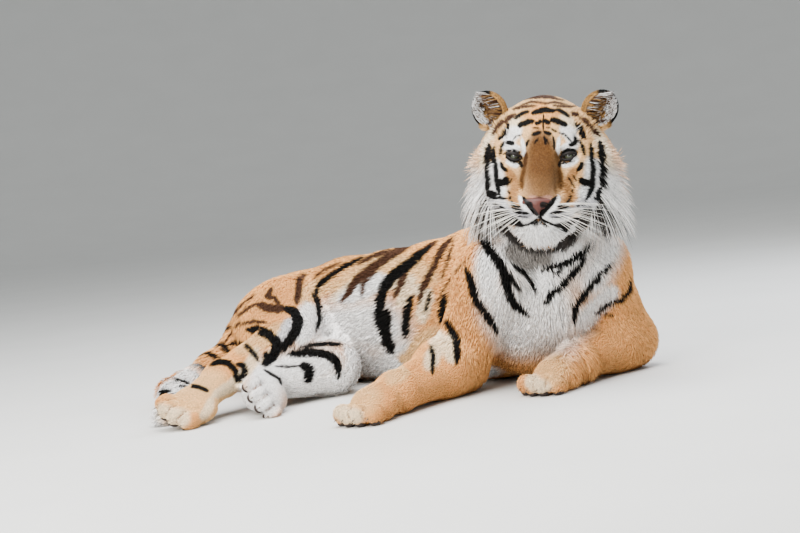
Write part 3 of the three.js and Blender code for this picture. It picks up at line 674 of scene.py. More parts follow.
def skinBlank():
    # the limbs and trunk as packed, and the neck and head from their own shapes, in one mesh
    bm = bmesh.new()
    for name in limbNodes:
        part = bmesh.new()
        part.from_mesh(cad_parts[name].data)
        bmesh.ops.remove_doubles(part, verts=part.verts, dist=1e-5)
        part.normal_update()
        for vert in part.verts:
            vert.co += vert.normal * skinSettings["swell"]
        addTo(bm, meshFrom(part, "copy"))
    for a, b in zip(neck, neck[1:]):
        for t in (0, 0.5):
            station = mix(a, b, t)
            ballBlank(bm, station[:3], station[3])
    face = castBlank("face", np.array([0, 60, -40.0]), coarseFace(), 330, 6)
    setPoints(face, toPart(fromHead(meshPoints(face))))
    addTo(bm, face)
    return linkMesh("skin", meshFrom(bm, "skin"))


def remeshed(piece, voxel):
    modifier = piece.modifiers.new("remesh", "REMESH")
    modifier.mode = "VOXEL"
    modifier.voxel_size = voxel
    evaluated = piece.evaluated_get(bpy.context.evaluated_depsgraph_get())
    mesh = bpy.data.meshes.new_from_object(evaluated)
    piece.modifiers.clear()
    old, piece.data = piece.data, mesh
    bpy.data.meshes.remove(old)
    return piece


def keepLargest(mesh):
    # drops any closed pocket inside the skin
    bm = bmesh.new()
    bm.from_mesh(mesh)
    bm.verts.ensure_lookup_table()
    group = np.full(len(bm.verts), -1)
    sizes = []
    for start in bm.verts:
        if group[start.index] >= 0:
            continue
        stack, count = [start], 0
        group[start.index] = len(sizes)
        while stack:
            vert = stack.pop()
            count += 1
            for edge in vert.link_edges:
                other = edge.other_vert(vert)
                if group[other.index] < 0:
                    group[other.index] = len(sizes)
                    stack.append(other)
        sizes.append(count)
    main = int(np.argmax(sizes))
    bmesh.ops.delete(bm, geom=[v for v in bm.verts if group[v.index] != main], context="VERTS")
    bm.to_mesh(mesh)
    bm.free()
    return len(sizes)


def eased(mesh, points, rounds, weight=None):
    # evens the points out over the surface, without drawing it in
    edges = np.empty(len(mesh.edges) * 2, int)
    mesh.edges.foreach_get("vertices", edges)
    a, b = edges.reshape(-1, 2).T
    both, far = np.concatenate([a, b]), np.concatenate([b, a])
    count = np.maximum(np.bincount(both, minlength=len(points)), 1)
    weight = np.ones(len(points)) if weight is None else weight
    for n in range(rounds * 2):
        mean = np.column_stack([np.bincount(both, points[far, k], len(points)) for k in range(3)])
        step = 0.6 if n % 2 == 0 else -0.62
        points = points + (mean / count[:, None] - points) * step * weight[:, None]
    return points


def refineHead(mesh, s=skinSettings["fine"]):
    # halves the facets of the face
    bm = bmesh.new()
    bm.from_mesh(mesh)
    bm.verts.ensure_lookup_table()
    local = inHead(toWork(np.array([v.co for v in bm.verts])))
    face = (local[:, 1] < s["back"]) & (local[:, 2] > s["low"]) & (np.abs(local[:, 0]) < s["side"])
    edges = [e for e in bm.edges if face[e.verts[0].index] and face[e.verts[1].index]]
    bmesh.ops.subdivide_edges(bm, edges=edges, cuts=1, use_grid_fill=True)
    bmesh.ops.triangulate(bm, faces=bm.faces)
    bm.to_mesh(mesh)
    bm.free()


def onFloor(points, clear=skinSettings["clear"]):
    points[:, 2] = np.maximum(points[:, 2], clear)
    return points


def buildSkin(s=skinSettings):
    skin = remeshed(skinBlank(), s["voxel"])
    shells = keepLargest(skin.data)
    points = eased(skin.data, toWork(meshPoints(skin.data)), s["ease"])
    points = settleOn(points, skinField, 0)
    points = eased(skin.data, points, 2)
    _, sizes = coatAt(points)
    points = onFloor(settleOn(points, skinField, coatDepth(sizes), 2))
    setPoints(skin.data, toPart(points))
    refineHead(skin.data)
    points = toWork(meshPoints(skin.data))
    local = inHead(points)
    face = (local[:, 1] < s["settled"]["back"]) & (local[:, 2] > s["settled"]["low"])
    _, sizes = coatAt(points[face])
    points[face] = settleOn(points[face], skinField, coatDepth(sizes), 3)
    setPoints(skin.data, toPart(points))
    smoothed(skin.data)
    print("skin:", shells, "shells,", len(skin.data.polygons), "triangles")
    return skin


skin = buildSkin()


def unwrapped(piece):
    # an unwrap of the piece's own shape, on which the coat's tufts are given their places too
    bpy.context.view_layer.objects.active = piece
    piece.select_set(True)
    piece.data.uv_layers.new(name="OFBake")
    bpy.ops.object.mode_set(mode="EDIT")
    bpy.ops.mesh.select_all(action="SELECT")
    bpy.ops.uv.smart_project(angle_limit=1.15, island_margin=0.003)
    bpy.ops.object.mode_set(mode="OBJECT")
    piece.select_set(False)
    return piece


unwrapped(skin)

# the markings: each is laid on the skin as a half width and points. A point (x, y) is a pixel of
# the camera's view, cast on to the skin from the camera, and (x, y, z) a place in the work frame.
coatTones = {
    "orange": "e8a865", "copper": "cf9658", "tan": "b0804f", "ochre": "9b7550", "fawn": "73512f",
    "sienna": "614020", "sand": "e9bd84", "cream": "f3dcb8", "blush": "b98a76", "brown": "7d5333",
    "umber": "432b1d", "bark": "40260f", "black": "080706", "slate": "35312f", "shade": "85807b",
    "grey": "a39c95", "ash": "b0afb3", "pearl": "d2d1d3", "white": "f7f5f3",
    "earTan": "8f6a3c", "earDeep": "3a2e2a",
}

flankStripes = {
    "shoulderFine": (1.1, (454.4, 239.1), (446.8, 262.1), (442, 279.3)),
    "shoulderBehind": (2.7, (452.5, 237.2), (441.1, 250.6), (432.4, 269.7), (421.9, 288.9), (418.1, 304.2)),
    "girthFront": (2.9, (437.2, 241), (416.2, 256.3), (406.6, 265.9), (400.9, 283.1), (393.2, 298.4)),
    "loinLong": (
        3.4, (410.4, 245.8), (395.1, 252.5), (379.8, 262.1), (366.4, 271.7), (356.9, 279.3),
        (341.2, 302.3),
    ),
    "loinTwin": (1.9, (402.8, 248.7), (383.7, 260.2), (372.2, 273.6), (362.6, 283.1), (361.7, 300.4)),
    "loinFine": (1.7, (391.3, 249.7), (372.2, 256.3), (356.9, 265)),
    "haunchFine": (1.1, (341.6, 262.1), (326.3, 268.8), (316.7, 275.5), (311, 283.1)),
    "haunchShort": (2.7, (306.2, 273.6), (299.5, 279.3), (298.5, 290.8), (296.6, 304.2)),
    "thighTop": (3.4, (257.4, 304.2), (267, 308), (276.5, 309), (286.1, 308)),
    "thighLoop": (1.9, (272.7, 287), (267, 296.5), (274.6, 298.4), (280.4, 306.1)),
    "rumpUpper": (1.5, (228.7, 327.1), (242.1, 324.3), (253.6, 321.4), (267, 323.3)),
    "rumpMiddle": (1.3, (236.3, 317.6), (245.9, 309.9), (255.5, 304.2), (261.2, 304.2)),
    "rumpLower": (1, (223, 344.4), (234.4, 329), (240.2, 321.4)),
    "rumpEdge": (1, (228.7, 319.5), (242.1, 304.2), (255.5, 294.6)),
    "armFine": (0.8, (468.9, 257.9), (456.3, 270.5), (445.8, 285.3), (435.3, 304.2)),
    "armFineBack": (0.8, (451.1, 253.7), (441.6, 276.8)),
}
bodyStripes = {
    "girth": (
        4.6, (429.6, 246.8), (406.6, 265.9), (393.2, 275.5), (383.7, 287), (379.8, 302.3),
        (378.9, 319.5), (390.4, 352),
    ),
    "girthLow": (5, (388.4, 309.9), (384.6, 327.1), (387.5, 342.4), (391.3, 353.9)),
    "elbowShort": (1.7, (430.5, 290.8), (427.7, 304.2), (424.8, 311.8)),
    "girthShort": (3.4, (411.4, 296.5), (406.6, 311.8), (404.7, 327.1), (405.7, 339.6)),
    "stifle": (
        2.5, (364.5, 256.3), (345.4, 265.9), (330.1, 275.5), (318.6, 285), (314.8, 294.6),
        (318.6, 306.1), (319.6, 319.5), (315.7, 332.9),
    ),
    "thighDark": (
        4.6, (284.2, 308), (293.7, 311.8), (298.5, 321.4), (294.7, 332.9), (288, 342.4), (282.3, 352),
    ),
    "shankBroad": (
        4.2, (245.9, 330), (257.4, 330), (268.9, 334.8), (276.5, 342.4), (275.6, 352), (267, 365.4),
    ),
    "shankShort": (3.1, (265, 352), (267, 359.7), (263.1, 365.4)),
    "shankFine": (2.3, (228.7, 344.4), (238.3, 342.4), (247.8, 347.2), (255.5, 355.8), (258.4, 361.6)),
    "hockDark": (2.7, (209.6, 365.4), (219.1, 361.6), (228.7, 363.5), (235.4, 371.1), (236.3, 382.6)),
    "hockTwin": (2.7, (235.4, 364.4), (243, 365.4), (245, 373.1), (238.3, 382.6)),
    "instep": (1.9, (186.7, 385.3), (197.8, 386.9), (209, 391.6)),
    "groin": (1.9, (299.9, 347), (317.5, 344.6), (327, 343.8), (343, 344.6)),
    # innerThigh: a black stripe, and painted shade along the crease where the right thigh meets the left leg
    "innerThigh": (
        3.8, (287.2, 354.2), (307.9, 352.6), (325.4, 354.2), (335, 359.7), (339, 369.3), (338.2, 378.9),
    ),
    "innerFine": (1.1, (274.4, 366.1), (290.4, 366.9), (303.1, 365.3)),
    "innerShank": (4.3, (301.5, 364.5), (309.5, 369.3), (307.9, 382.1)),
    "innerHock": (1.4, (263.2, 369.3), (271.2, 374.1), (279.2, 378.9), (281.6, 385.3)),
    "tailBand": (3.5, (175.5, 382.1), (181.9, 384.5), (187.5, 383.7)),
    "tailBandLow": (2.7, (158.8, 393.6), (165.9, 392.4), (173.1, 393.6)),
    "forearm": (
        3.4, (445.8, 292.6), (442.6, 304.2), (441.6, 318.9), (450, 327.4), (456.3, 340), (457.4, 354.7),
        (456.3, 365.3),
    ),
    "forearmIn": (2.1, (430, 344.2), (433.2, 356.8), (432.1, 374.7)),
    "breastRight": (
        3.6, (465.8, 268.4), (471.1, 283.2), (475.3, 300), (485.8, 314.7), (494.2, 327.4),
        (497.8, 334.7),
    ),
    "collarRight": (
        4, (479.9, 225.3), (481.6, 238.9), (492.1, 253.7), (502.6, 268.4), (506.8, 289.5),
        (515.3, 306.3), (528.9, 315.8),
    ),
    "collarBranch": (2.5, (502.6, 268.4), (513.2, 281.1), (520.5, 292.6)),
    "throatRight": (1.9, (511.1, 263.2), (523.7, 272.6), (532.1, 283.2), (535.9, 294.7)),
    "collarLeft": (
        2.9, (613.2, 231.6), (595.3, 243.2), (582.6, 254.7), (567.9, 264.2), (553.2, 268.4),
        (540.5, 271.6),
    ),
    "breastMiddle": (2.9, (585.8, 257.9), (578.4, 268.4), (565.8, 283.2), (551.1, 295.8), (544.7, 304.2)),
    "throatFine": (1.3, (564.7, 270.5), (554.2, 277.9)),
    "breastLeft": (
        2.9, (614.2, 262.1), (601.6, 274.7), (586.8, 291.6), (576.3, 306.3), (574.2, 318.9),
        (574.6, 325.3),
    ),
    "elbowLeft": (2.1, (631.1, 278.9), (630, 291.6), (622.6, 300), (607.9, 305.3), (596.3, 313.7)),
    "elbowLeftFine": (0.8, (593.2, 312.6), (603.7, 314.7), (616.3, 316.8)),
}
crownStripes = {
    "crownFine": (
        0.8, (519.9, 105.5), (531, 101.7), (537.8, 102.1), (546.4, 103.4), (554.9, 102.1),
        (567.7, 104.4),
    ),
    "crownTop": (0.8, (518, 101), (529, 98), (541, 97.4), (553, 98), (565, 100.6)),
    "crownTopFine": (0.7, (526, 96.8), (541, 95.4), (556, 96.6)),
    "crownRight": (0.9, (511.8, 109.4), (520.7, 107.2), (529.3, 106.1), (537, 105.5)),
    "crownLeft": (0.8, (552.4, 105.5), (562.6, 106.1), (572.9, 106.6), (576.7, 105.5)),
    "templeRight": (1.7, (515.6, 114.1), (509.6, 117.5), (502.8, 121.8), (495.9, 128.2), (492.1, 135)),
    "templeLeft": (1.5, (578.9, 116.2), (586.5, 122.2), (593.4, 129), (600.2, 136.7)),
    "templeLeftTop": (1.3, (571.2, 112.8), (575.4, 114.1), (579.7, 114.5)),
}
faceStripes = {
    "foreheadCross": (2.1, (531, 113.6), (537.8, 111.5), (544.7, 110.2), (550.6, 110.6), (555.8, 110.4)),
    "foreheadCrossTop": (1.5, (537.8, 110.4), (543.8, 108.5), (548.9, 108.5)),
    "midline": (0.8, (543.6, 113.6), (543.4, 118.8), (543.1, 124.8), (543.4, 130.7)),
    "loopRight": (1.6, (513.9, 119.2), (518.2, 116.2), (521.6, 113.6), (529.3, 111.1)),
    "loopLeft": (1.6, (555.4, 109.2), (560.1, 110.4), (565.2, 113.6), (569.9, 117.1)),
    "browRight": (2.3, (517.3, 126.3), (522.4, 123.9), (528.4, 121.8), (534, 120.9)),
    "browLeft": (2.5, (550.2, 119.5), (554.9, 120.5), (560.9, 122.6), (567.1, 124.9)),
    "centreRight": (1.7, (534.4, 123.2), (537.8, 123), (542.1, 120.5)),
    "centreLeft": (1.9, (543.8, 119.6), (547.2, 122.2), (550.2, 124.3)),
    "tickRight": (0.7, (532.7, 127.5), (539.5, 128.2)),
    "tickLeft": (0.7, (545.5, 127.3), (550.6, 127.8)),
    "lowRight": (1.5, (531.8, 135.4), (536.1, 133.3), (541.4, 131.8)),
    "lowLeft": (1.6, (543.6, 131.6), (547.2, 132.9), (551.5, 134.6)),
    "lowLeftOuter": (0.9, (551.1, 129), (557.1, 131.8)),
    "streakA": (0.8, (534, 143.6), (536.5, 140.6), (538.3, 138.4)),
    "streakB": (0.9, (544.2, 135.9), (545.1, 140.1), (545.7, 144.8)),
    "streakC": (0.6, (546.4, 138.4), (547.7, 141.8), (549.1, 144.8)),
    "noseRootLeft": (1, (553, 135.9), (554.2, 142.7), (554.5, 149.5)),
    "noseRootRight": (1, (529.3, 139.3), (527.1, 142.7), (526, 147)),
    "eyeArchRight": (0.6, (513, 139.7), (516, 136.3), (522.4, 134.6)),
    "eyeBlotRight": (1.9, (506, 142.7), (510.1, 142.7), (514.1, 143.7)),
    "eyeArchLeft": (0.8, (558.3, 132.6), (564.3, 134.3), (568.6, 138.4), (572, 142.7)),
    "eyeBlotLeft": (1.7, (568.6, 144.8), (573.7, 144), (576.3, 141), (574.6, 136.7)),
    "sideRight": (1.6, (509.2, 123), (505.4, 130.7), (501.1, 136.7), (498.1, 139.7)),
    "sideLeft": (2.1, (576.3, 121.8), (580.1, 128.2), (583.6, 134.2), (586.1, 138.4)),
    "outerEyeLeft": (1.3, (579.7, 140.1), (582.7, 147), (584.8, 155.5)),
    "outerEyeRight": (1.1, (504.5, 141), (501.1, 147), (499.8, 156.4)),
    "cheekLineLeft": (
        2.1, (591.2, 142.7), (591.7, 154.7), (593.4, 168), (592.5, 181.2), (592.1, 188), (588.3, 196.5),
        (585.3, 201.7),
    ),
    "cheekOuterLeft": (3, (599.8, 141), (602.4, 153), (603.2, 168), (602.8, 178.6), (604.1, 189.7)),
    "cheekLineRight": (
        2, (493.8, 146.1), (493.4, 156.4), (495.5, 168), (496.4, 180.3), (498.9, 192.3), (500.6, 197.4),
    ),
    "cheekOuterRight": (3, (489.1, 143.6), (487, 156.4), (487.4, 168), (488.3, 178.6), (486.5, 190.6)),
    "cheekBlotRight": (2.7, (497.7, 181.4), (501.9, 183.1), (505.4, 182.2), (506.2, 177.1)),
    "cheekBlotLeft": (2.6, (579.3, 179.2), (584, 182.2), (590, 183.1)),
    "jowlRight": (2.9, (487.4, 193.3), (491.7, 194.2), (496.4, 195.9)),
    "jowlLeft": (2.6, (596.4, 192.5), (599.4, 194.2), (601.9, 188.2)),
    "jowlLeftLow": (1.4, (593.4, 198), (598.5, 198.9), (603.6, 199.3)),
    "whiskerBarRight": (0.9, (487.4, 199.7), (497.7, 198), (507.9, 198.5)),
    "whiskerBarLeft": (0.9, (576.3, 206.2), (580.6, 205.1), (584.4, 204.9)),
    "underEyeRight": (1.5, (500.4, 161.7), (502.4, 167.7), (507.5, 171.3)),
    "underEyeLeft": (1.7, (583.3, 161.3), (580.6, 167.3), (576.7, 171.1)),
    "mouthCornerRight": (2.4, (497.7, 219), (506.2, 217.3), (514.8, 220.7), (522.4, 225.4)),
    "mouthCornerLeft": (2.6, (560.1, 223.2), (565.2, 228.4), (568.6, 233.5), (574.6, 236.9)),
    "padRowRightA": (1, (510.1, 204.4), (515.6, 206.2), (521.2, 207)),
    "padRowRightB": (1.2, (512.2, 210.4), (518.2, 212.6), (529.3, 213.4)),
    "padRowRightC": (0.5, (514.8, 215.6), (522.4, 216.8), (528.4, 217.4)),
    "padRowLeftA": (1, (557.1, 207), (563.5, 204.9), (567.7, 203.6)),
    "padRowLeftB": (1.2, (549.8, 213.2), (556.6, 212.6), (564.3, 210.4), (571.2, 209.1)),
    "padRowLeftC": (0.5, (550.6, 217.1), (557.5, 217.3), (566, 216)),
    "mouth": (
        1.1, (520.7, 226), (529.3, 224.3), (536.1, 220.3), (539.7, 218.1), (545.5, 221.7),
        (551.5, 224.3), (560.5, 226.8),
    ),
    "padSpotRightA": (0.9, (509.5, 196), (511, 201), (513.5, 203.5)),
    "padSpotRightB": (0.7, (508, 190), (509.5, 194)),
    "padSpotLeftA": (0.9, (571.5, 195), (569.5, 200), (566.5, 203)),
    "padSpotLeftB": (0.7, (573, 189), (571.8, 193)),
    "cheekTickRightA": (0.7, (507, 187), (510, 182), (512, 178)),
    "cheekTickLeftA": (0.7, (575, 188), (571, 181), (568, 177)),
    "cheekTickLeftB": (0.6, (577, 182), (573, 175)),
    "chinDark": (1.2, (532.7, 225), (540.4, 222.4), (548.9, 227.5)),
    "philtrumLine": (0.9, (539.6, 214), (539.7, 221)),
    "socketRight": (3.2, (508, 155.5), (512, 156), (518, 159.5)),
    "socketLeft": (3.2, (574, 155), (569, 155.5), (563, 159)),
    "nostrilRight": (1.3, (527, 200.5), (530, 204), (533, 209)),
    "nostrilLeft": (1.3, (552, 200.5), (549, 204), (546, 208.5)),
    "lidRight": (1.4, (503.5, 154.5), (508, 151.6), (514, 150.8), (519, 153), (522, 158)),
    "lidLeft": (1.4, (578.2, 152.8), (573, 150.2), (567.5, 149.9), (562.5, 153), (559.8, 158)),
    "lowerLidRight": (0.9, (504.5, 156.5), (509, 160.4), (514, 162.4), (519, 163.8)),
    "lowerLidLeft": (0.9, (577.3, 156), (573, 160), (568, 162), (562, 163.5)),
    "tearRight": (1.3, (519.5, 160), (521, 164), (521.5, 168)),
    "tearLeft": (1.3, (561.5, 159.5), (560, 163), (559.6, 167)),
    "noseEdgeRight": (1.9, (522.5, 196.5), (526.5, 202), (531, 207.5), (536.5, 213.8), (539.5, 218)),
    "noseEdgeLeft": (1.9, (556.5, 196.5), (552.5, 202), (548, 207), (543, 213), (539.5, 218)),
    "jowlStreakRightA": (0.8, (490, 203), (500, 206), (509, 212)),
    "jowlStreakRightB": (0.8, (489, 208), (498, 212), (506, 219)),
    "jowlStreakLeftA": (0.8, (574, 213), (584, 210), (593, 211)),
    "jowlStreakLeftB": (0.9, (571, 219), (581, 218), (591, 222)),
    "padRowRightD": (0.8, (511, 207.5), (516, 209), (522, 210)),
    "padRowLeftD": (0.8, (556, 210), (563, 208), (569, 206.3)),
}
# the ground that the stripes lie on, painted in this order: tone, half width and points
ground = {
    # flank, belly and haunch
    "flankSand": ("sand", 12, (322, 290), (345, 284), (366, 274), (384, 264), (412, 268), (436, 280)),
    "flankPale": ("cream", 7, (330, 300), (352, 288), (376, 280), (396, 284), (418, 290), (432, 300)),
    "bellyWhite": ("white", 27, (316, 326), (345, 328), (372, 326), (398, 334)),
    "flankWhite": ("white", 8, (340, 300), (366, 290), (384, 276)),
    "flankGap": ("cream", 6, (399, 306), (407, 288), (413, 276)),
    "elbowGap": ("cream", 7, (421, 322), (424, 305), (428, 290)),
    "haunchSand": ("sand", 9, (300, 298), (311, 292), (322, 284)),
    "thighWarm": ("sand", 9, (238, 352), (262, 340), (284, 326)),
    "innerKnee": ("white", 10, (307, 306), (309, 326), (300, 342)),
    "lowerLeg": ("white", 19, (340, 362), (304, 364), (272, 374), (250, 388)),
    "innerShank": ("cream", 5, (281, 340), (272, 354), (262, 364)),
    "thighGap": ("pearl", 6, (290, 320), (285, 332), (279, 346)),
    "bellyUnder": ("white", 12, (354, 350), (368, 368), (392, 374)),
    "kneeFront": ("white", 9, (350, 346), (356, 360), (352, 376)),
    "shankUnder": ("white", 10, (354, 374), (334, 386), (304, 390)),
    "leftHindPaw": ("white", 17, (264, 390), (268, 406)),
    "hindPaw": ("sand", 12, (176, 404), (200, 388), (220, 376)),
    "shankPale": ("cream", 6, (258, 348), (247, 370), (233, 385), (212, 397)),
    "hindPawSide": ("cream", 5, (211, 400), (208, 410), (202, 418)),
    "hindToes": ("cream", 10, (160, 410), (172, 418), (186, 418)),
    "tailEnd": ("white", 15, (156, 400), (172, 386), (192, 376)),
    # breast and forelegs
    "breast": ("white", 25, (500, 300), (514, 326), (524, 340)),
    "breastMiddle": ("white", 32, (536, 284), (548, 316), (560, 332)),
    "collar": ("white", 13, (488, 246), (489, 272), (487, 300)),
    "throat": ("white", 25, (500, 250), (540, 262), (588, 250)),
    # painted shade under the head, laid as a grey band over the white throat
    "throatShade": ("shade", 11, (508, 250), (526, 260), (550, 260)),
    "neckLeft": ("white", 15, (612, 240), (604, 262), (590, 290)),
    "innerArmLeft": ("white", 9, (578, 330), (594, 310), (616, 290)),
    "innerForearm": ("cream", 8, (439, 334), (436, 350), (428, 368)),
    "elbowInside": ("cream", 8, (449, 338), (452, 360)),
    "forearmSand": ("sand", 11, (436, 330), (410, 360), (388, 382)),
    "forePaw": ("sand", 15, (346, 404), (372, 394)),
    "forePawLeft": ("sand", 14, (560, 366), (546, 376)),
    "foreToesLeft": ("cream", 8, (530, 378), (536, 386), (547, 388)),
    "foreToes": ("cream", 9, (336, 408), (346, 416), (360, 418)),
    # head: temples, crown, cheeks
    "headSand": ("sand", 58, (515, 150), (567, 150)),
    "crownCopper": ("copper", 6, (514, 103), (541, 97), (568, 102)),
    "foreheadCopper": ("copper", 7, (522, 113), (541, 109), (560, 112)),
    "crownSand": (
        "sand", 7, (488, 146), (493, 124), (510, 108), (541, 99), (572, 106), (592, 122), (603, 148),
    ),
    "templeRight": ("cream", 5, (484, 172), (485, 150), (493, 128)),
    "templeLeft": ("cream", 6, (611, 172), (604, 148), (594, 128)),
    "ruffRight": ("white", 20, (486, 178), (482, 200), (492, 226)),
    "ruffLeft": ("white", 20, (608, 178), (610, 200), (600, 228)),
    "cheekRight": ("white", 8, (494, 160), (496, 176), (500, 200)),
    "cheekLeft": ("white", 9, (594, 158), (592, 178), (584, 204)),
    "cheekSandRight": ("sand", 2.4, (491, 140), (491, 152), (492, 162)),
    "cheekSandLeft": ("sand", 3.4, (587, 132), (595, 146), (597, 158)),
    "jowlRight": ("pearl", 8, (486, 203), (498, 204), (506, 210)),
    "jowlLeft": ("pearl", 8, (578, 207), (588, 205), (600, 206)),
    "jawRight": ("white", 12, (490, 214), (506, 224), (520, 236)),
    "jawLeft": ("white", 12, (604, 212), (586, 224), (566, 236)),
    # forehead and brows
    "foreheadWarm": ("orange", 11, (541, 108), (541, 128)),
    "foreheadLow": ("ochre", 11, (541, 136), (541, 150)),
    "foreheadRight": ("cream", 4.5, (509, 131), (512, 124), (518, 118.5)),
    "foreheadLeft": ("cream", 4.5, (562, 117), (570, 121), (575, 131)),
    "browRight": ("white", 6.5, (506, 146), (510, 138), (518, 128)),
    "browLeft": ("white", 6.5, (563, 128), (570, 133), (575, 146)),
    "lidRight": ("white", 3.8, (505, 149), (513, 147), (520, 149)),
    "lidLeft": ("white", 3.8, (577, 148), (568, 146), (561, 149)),
    # nose bridge and below the eyes
    "bridgeEnd": ("ochre", 19, (541, 170), (541, 204)),
    "bridge": ("fawn", 17, (541, 152), (541, 184)),
    "bridgeTop": ("sienna", 15, (541, 144), (541, 170)),
    "innerEyeRight": ("white", 1.9, (522, 138), (523.5, 150), (523.5, 156)),
    "innerEyeLeft": ("white", 1.9, (559, 137), (558, 150), (558.5, 155)),
    "underEyeRight": ("tan", 4.5, (506, 169), (513, 178), (516, 190)),
    "underEyeLeft": ("tan", 4.5, (577, 168), (570, 178), (566, 190)),
    # bridgeRight and bridgeLeft: the brown sides of the bridge, darkened with painted shade at the inner
    # corner of each eye
    "bridgeRight": ("bark", 2.4, (526.5, 152), (525.5, 160), (524, 170)),
    "bridgeSideRight": ("sienna", 3, (524.5, 168), (522, 178), (521, 190)),
    "bridgeLeft": ("fawn", 2.4, (555.5, 152), (557.5, 160), (559.5, 170)),
    "bridgeSideLeft": ("sienna", 3, (559, 168), (561, 178), (561.5, 190)),
    "underLidRight": ("white", 2.8, (506, 160), (512, 164), (518, 166)),
    "underLidLeft": ("white", 3.6, (578, 158.5), (570, 163), (563, 165.5)),
    # muzzle and chin
    "jawWhite": ("white", 14, (500, 222), (541, 240), (582, 222)),
    "muzzleWhite": ("white", 10, (512, 214), (541, 222), (568, 213)),
    "padWarmRight": ("tan", 4.5, (513, 188), (512, 198), (516, 203)),
    "padWarmLeft": ("tan", 4.5, (568, 188), (570, 198), (565, 203)),
    "padRight": ("ash", 5.5, (508, 212), (516, 213), (530, 214.5)),
    "padLeft": ("ash", 5.5, (574, 210), (564, 213), (550, 214.5)),
    "noseSideRight": ("white", 2.6, (519.5, 196), (523, 205), (530, 213)),
    "noseSideLeft": ("white", 2.6, (559.5, 196), (556, 205), (549, 213)),
    "noseTop": ("blush", 1.8, (529, 196.5), (540, 198.5), (552, 196.5)),
    # jawDark: dark hair round the mouth corners, deepened with painted shade under the jaw
    "jawDarkRight": ("slate", 10, (497, 211), (503, 220), (510, 230), (516, 240), (524, 248)),
    "jawDarkLeft": ("slate", 9, (591, 210), (584, 219), (574, 230), (567, 240), (558, 248)),
    "lipShadeRight": ("slate", 3, (500, 220), (512, 223), (524, 226)),
    "lipShadeLeft": ("slate", 3, (578, 220), (568, 224), (554, 226)),
    "chin": ("white", 7.5, (530, 229), (541, 233), (552, 229)),
    # painted shadow under the chin, over its dark strands
    "underChinShade": ("slate", 7, (514, 238), (527, 246), (541, 248), (555, 246), (568, 238)),
    "noseBed": ("black", 7, (539.5, 201), (539.5, 211)),
}
# the same in the work frame, under all the rest: what the camera sees little or nothing of
farGround = {
    "underJaw": ("white", 110, [(0, -20, 390), (10, 60, 330)]),
    "underBelly": ("white", 95, [(-170, 330, 20), (-330, 440, 20), (-520, 560, 30)]),
    "innerLegs": ("white", 50, [(-600, 480, 40), (-650, 420, 30)]),
    "tailEnd": ("white", 64, [
        (-1010, 450, 37), (-950, 285, 37), (-952, 200, 33), (-985, 120, 25), (-1010, 0, 20),
    ]),
    "leftKnee": ("white", 72, [(-430, 450, 20), (-540, 425, 25), (-650, 390, 25)]),
    "leftShank": ("white", 68, [
        (-500, 470, 40), (-585, 425, 45), (-735, 262, 50), (-742, 178, 38), (-742, 30, 20),
    ]),
    "rightHindPaw": ("sand", 66, [(-820, 260, 80), (-870, 160, 45), (-905, 90, 25), (-960, -10, 10)]),
    "mouth": ("slate", 16, fromHead([(-44, -84, -152), (0, -112, -148), (44, -84, -152)])),
    "rightSocket": ("black", 12, fromHead([(-86, 4, -6), (-63, -4, -8), (-40, 4, -8)])),
    "leftSocket": ("black", 12, fromHead([(40, 4, -8), (63, -4, -8), (86, 4, -6)])),
}


def trianglesOf(mesh):
    # the points and the loops at the corners of each triangle
    mesh.calc_loop_triangles()
    count = len(mesh.loop_triangles)
    corners, loops = np.empty(count * 3, int), np.empty(count * 3, int)
    mesh.loop_triangles.foreach_get("vertices", corners)
    mesh.loop_triangles.foreach_get("loops", loops)
    return corners.reshape(-1, 3), loops.reshape(-1, 3)


corners, _ = trianglesOf(skin.data)
skinTree = BVHTree.FromPolygons(toWork(meshPoints(skin.data)).tolist(), corners.tolist())


def rayHit(start, end):
    # where the line from start towards end meets the skin
    return skinTree.ray_cast(start.tolist(), unit(end - start).tolist())[0]


def inView(points, s=cameraSettings):
    # the pixels where points of the work frame are seen, the other way round from sightLine
    away = points - cameraPlace
    depth = away @ cameraAhead
    x = s["view"][0] / 2 + s["focal"] * (away @ cameraRight) / depth
    y = s["view"][1] / 2 - s["focal"] * (away @ cameraUp) / depth
    return np.column_stack([x, y])


def castRow(path, step=2.0):
    # a marking's points close together, each with the place on the skin where it is seen
    path = np.asarray(path, float)
    spots = [path[0]]
    for a, b in zip(path, path[1:]):
        count = max(1, int(np.linalg.norm(b - a) / step))
        spots += [a + (b - a) * (n + 1) / count for n in range(count)]
    hits = [skinTree.ray_cast(cameraPlace.tolist(), sightLine(x, y).tolist())[0] for x, y in spots]
    known = [n for n, hit in enumerate(hits) if hit is not None]
    if not known:
        return None
    nearest = [min(known, key=lambda k: abs(k - n)) for n in range(len(hits))]
    return np.array(spots), np.array([hits[n] for n in nearest])


def wave(points, size, seed):
    # an even ripple from -1 to 1, about size mm from crest to crest
    turns = np.random.default_rng(seed)
    total = np.zeros(len(points))
    for _ in range(5):
        direction = unit(turns.normal(size=3)) * 2 * math.pi / size * turns.uniform(0.7, 1.5)
        total += np.sin(points @ direction + turns.uniform(0, 6.3))
    return total / 5


def coverWith(tones, chosen, cover, tone):
    cover = cover[:, None]
    tones[chosen] = tones[chosen] * (1 - cover) + np.array(linear(coatTones[tone])) * cover


# how a marking thins towards its ends, and how uneven its edge is, as shares of its half width
solidRow = {"thins": 0.85, "late": 3.0, "uneven": 0.16}
seenRow = {"thins": 0.75, "late": 5, "uneven": 0.14}


